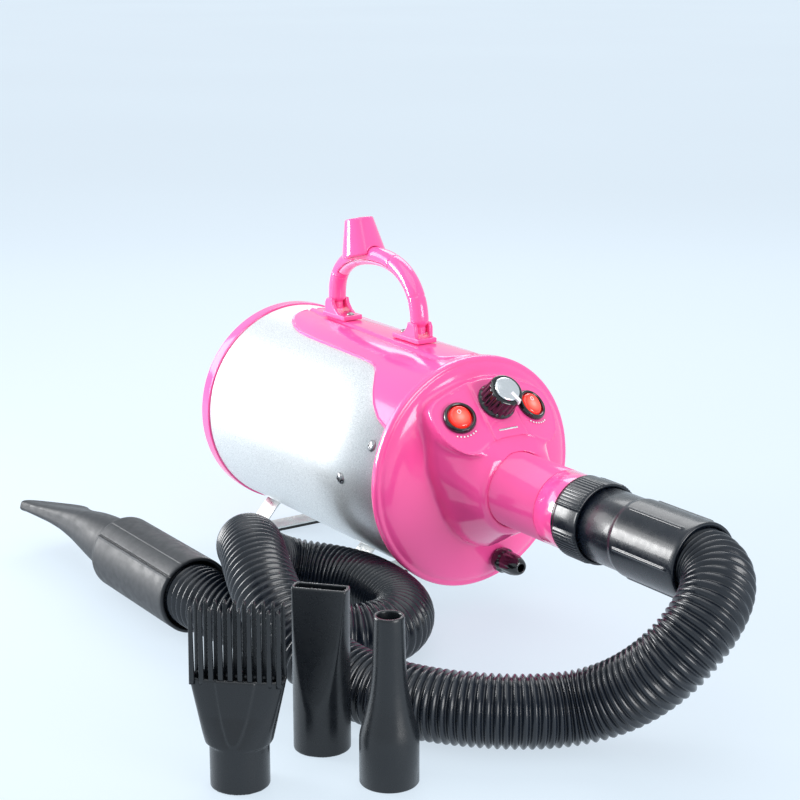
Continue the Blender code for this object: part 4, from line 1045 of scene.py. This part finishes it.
def make_comb_nozzle():
    turn = Matrix.Translation((0.265, -0.297, 0)) @ Matrix.Rotation(math.radians(48), 4, "Z")
    place = np.array(turn.inverted())

    def field(points):
        x, y, z = (points @ place[:3, :3].T + place[:3, 3]).T * 1000
        half = np.interp(z, [0, 27.5, 29.5, 48, 70], [18.4, 18.4, 20.8, 24.8, 29.7])
        thick = np.interp(z, [0, 27.5, 29.5, 48, 70], [18.4, 18.4, 18.2, 13.0, 8.9])
        power = 2 + 3 * (1 - thick / half)
        size = ((np.abs(x) / half) ** power + (np.abs(y) / thick) ** power + 1e-9) ** (1 / power)
        outer = (size - 1) * thick * 0.9
        inside = 12.5 * np.sqrt(np.clip((z - 30) / 38, 0, 1)) - np.abs(x)
        outer = outer - 0.9 * np.clip(inside / 0.9, 0, 1) * np.clip((z - 30) / 2, 0, 1)
        outer = smooth_most(outer, np.abs(z - 35) - 35, 0.8)
        inner = (np.abs(x) / (half - 2)) ** power + (np.abs(y) / (thick - 2)) ** power + 1e-9
        hollow = (inner ** (1 / power) - 1) * thick * 0.9
        return smooth_most(outer, -hollow, 0.7) / 1000

    bm = implicit_mesh(field, (0.231, -0.331, -0.0012), (0.299, -0.263, 0.0714), 0.0010)
    finished("fan_shaped_root", bm, CHARCOAL, "comb_nozzle_body", ("comb_nozzle",))
    teeth = []
    for row in (-1, 1):
        for i in range(10):
            x = 0.0268 * (2 * i / 9 - 1)
            rings = []
            for z in np.linspace(0.0665, 0.1160, 16):
                taper = 1 - 0.35 * (z - 0.0665) / 0.0495
                tip = math.sqrt(max(0.12, 1 - max(0.0, (z - 0.1145) / 0.0016) ** 2))
                a, b = 0.00175 * taper * tip, 0.00165 * taper * tip
                rings.append([(x + u, row * 0.0072 + v, z) for u, v in rounded_ring(a, b, 0.6, 16)])
            teeth.append(skinned(rings))
    finished("comb_prongs", moved(merged(teeth), turn), CHARCOAL, "comb_nozzle_body")


# ---------------------------------------------------------------- pieces kept from the frame


def paint_frame():
    """Materials for the CAD nodes that keep their own shape."""
    looks = {
        PINK: ["inlet_grille"],
        FOAM: ["filter_sponge"],
        STEEL: ["filter_guard", "potentiometer", "fan_housing", "motor_shaft", "rear_bearing",
                "front_bearing", "heater_shroud"],
        CAST: ["impeller"],
        DARK: ["stator", "rear_bearing_bracket", "front_bearing_bracket"],
        COPPER: ["armature", "heater_coil"],
        RUBBER: ["motor_mount_ring"],
        MICA: ["heater_frame"],
        BOARD: ["control_board"],
        BLACK: ["gland_nut"],
    }
    for mat, names in looks.items():
        for name in names:
            obj = NODES[name]
            for part in obj.material_slots:
                part.material = mat
            if not obj.material_slots:
                obj.data.materials.append(mat)
    soften = NODES["inlet_grille"].modifiers.new("edges", "BEVEL")
    soften.width = 0.0006
    soften.segments = 2
    soften.limit_method = "ANGLE"


# ---------------------------------------------------------------- lights and floor


def softbox(name, place, target, size, power):
    lamp = bpy.data.lights.new(name, "AREA")
    lamp.shape = "RECTANGLE"
    lamp.size, lamp.size_y = size
    lamp.energy = power
    obj = bpy.data.objects.new(name, lamp)
    obj.location = place
    obj.rotation_euler = (Vector(target) - Vector(place)).to_track_quat("-Z", "Y").to_euler()
    bpy.context.scene.collection.objects.link(obj)


def make_stage():
    bm = bmesh.new()
    bmesh.ops.create_grid(bm, x_segments=40, y_segments=40, size=200.0)
    floor = in_scene("floor", bm)
    look = Shader("pale_floor", (0.132, 0.154, 0.169), 0.7)
    look.tint(look.noise(0.8, 1.0), (0.125, 0.145, 0.160), (0.140, 0.162, 0.178))
    look.bump(look.noise(200.0, 2.0), 0.00005, 0.1)
    fill(look.out, Emission_Color=(0.785, 0.895, 1.0, 1.0), Emission_Strength=0.74)
    floor.data.materials.append(look.mat)
    world = bpy.data.worlds.new("world")
    world.use_nodes = True
    fill(world.node_tree.nodes["Background"], Color=(0.84, 0.93, 1.0, 1.0), Strength=0.80)
    bpy.context.scene.world = world
    bpy.context.scene.view_settings.view_transform = "Standard"
    middle = (0.15, -0.03, 0.11)
    softbox("side_box", (-0.64, -0.82, 0.33), (0.25, 0.0, 0.12), (0.36, 0.42), 9)
    softbox("barrel_box", (-1.30, -0.95, 0.75), (-0.05, 0.0, 0.11), (1.3, 0.7), 11)
    softbox("back_box", (-0.85, 0.85, 1.35), middle, (1.3, 0.9), 12)
    softbox("top_box", (0.35, -0.35, 1.60), middle, (1.4, 1.4), 8)
    softbox("front_box", (2.1, 0.35, 0.62), middle, (1.0, 0.8), 20)


make_camera()
make_hose_fittings()
make_wide_nozzle()
make_hose()
make_barrel()
make_barrel_screws()
make_front_cover()
make_switches()
make_speed_control()
make_panel_marks()
make_gland()
make_outlet()
make_top_saddle()
make_handle()
make_handle_feet()
make_hose_rest()
make_stands()
make_round_nozzle()
make_flat_nozzle()
make_comb_nozzle()
paint_frame()
make_stage()
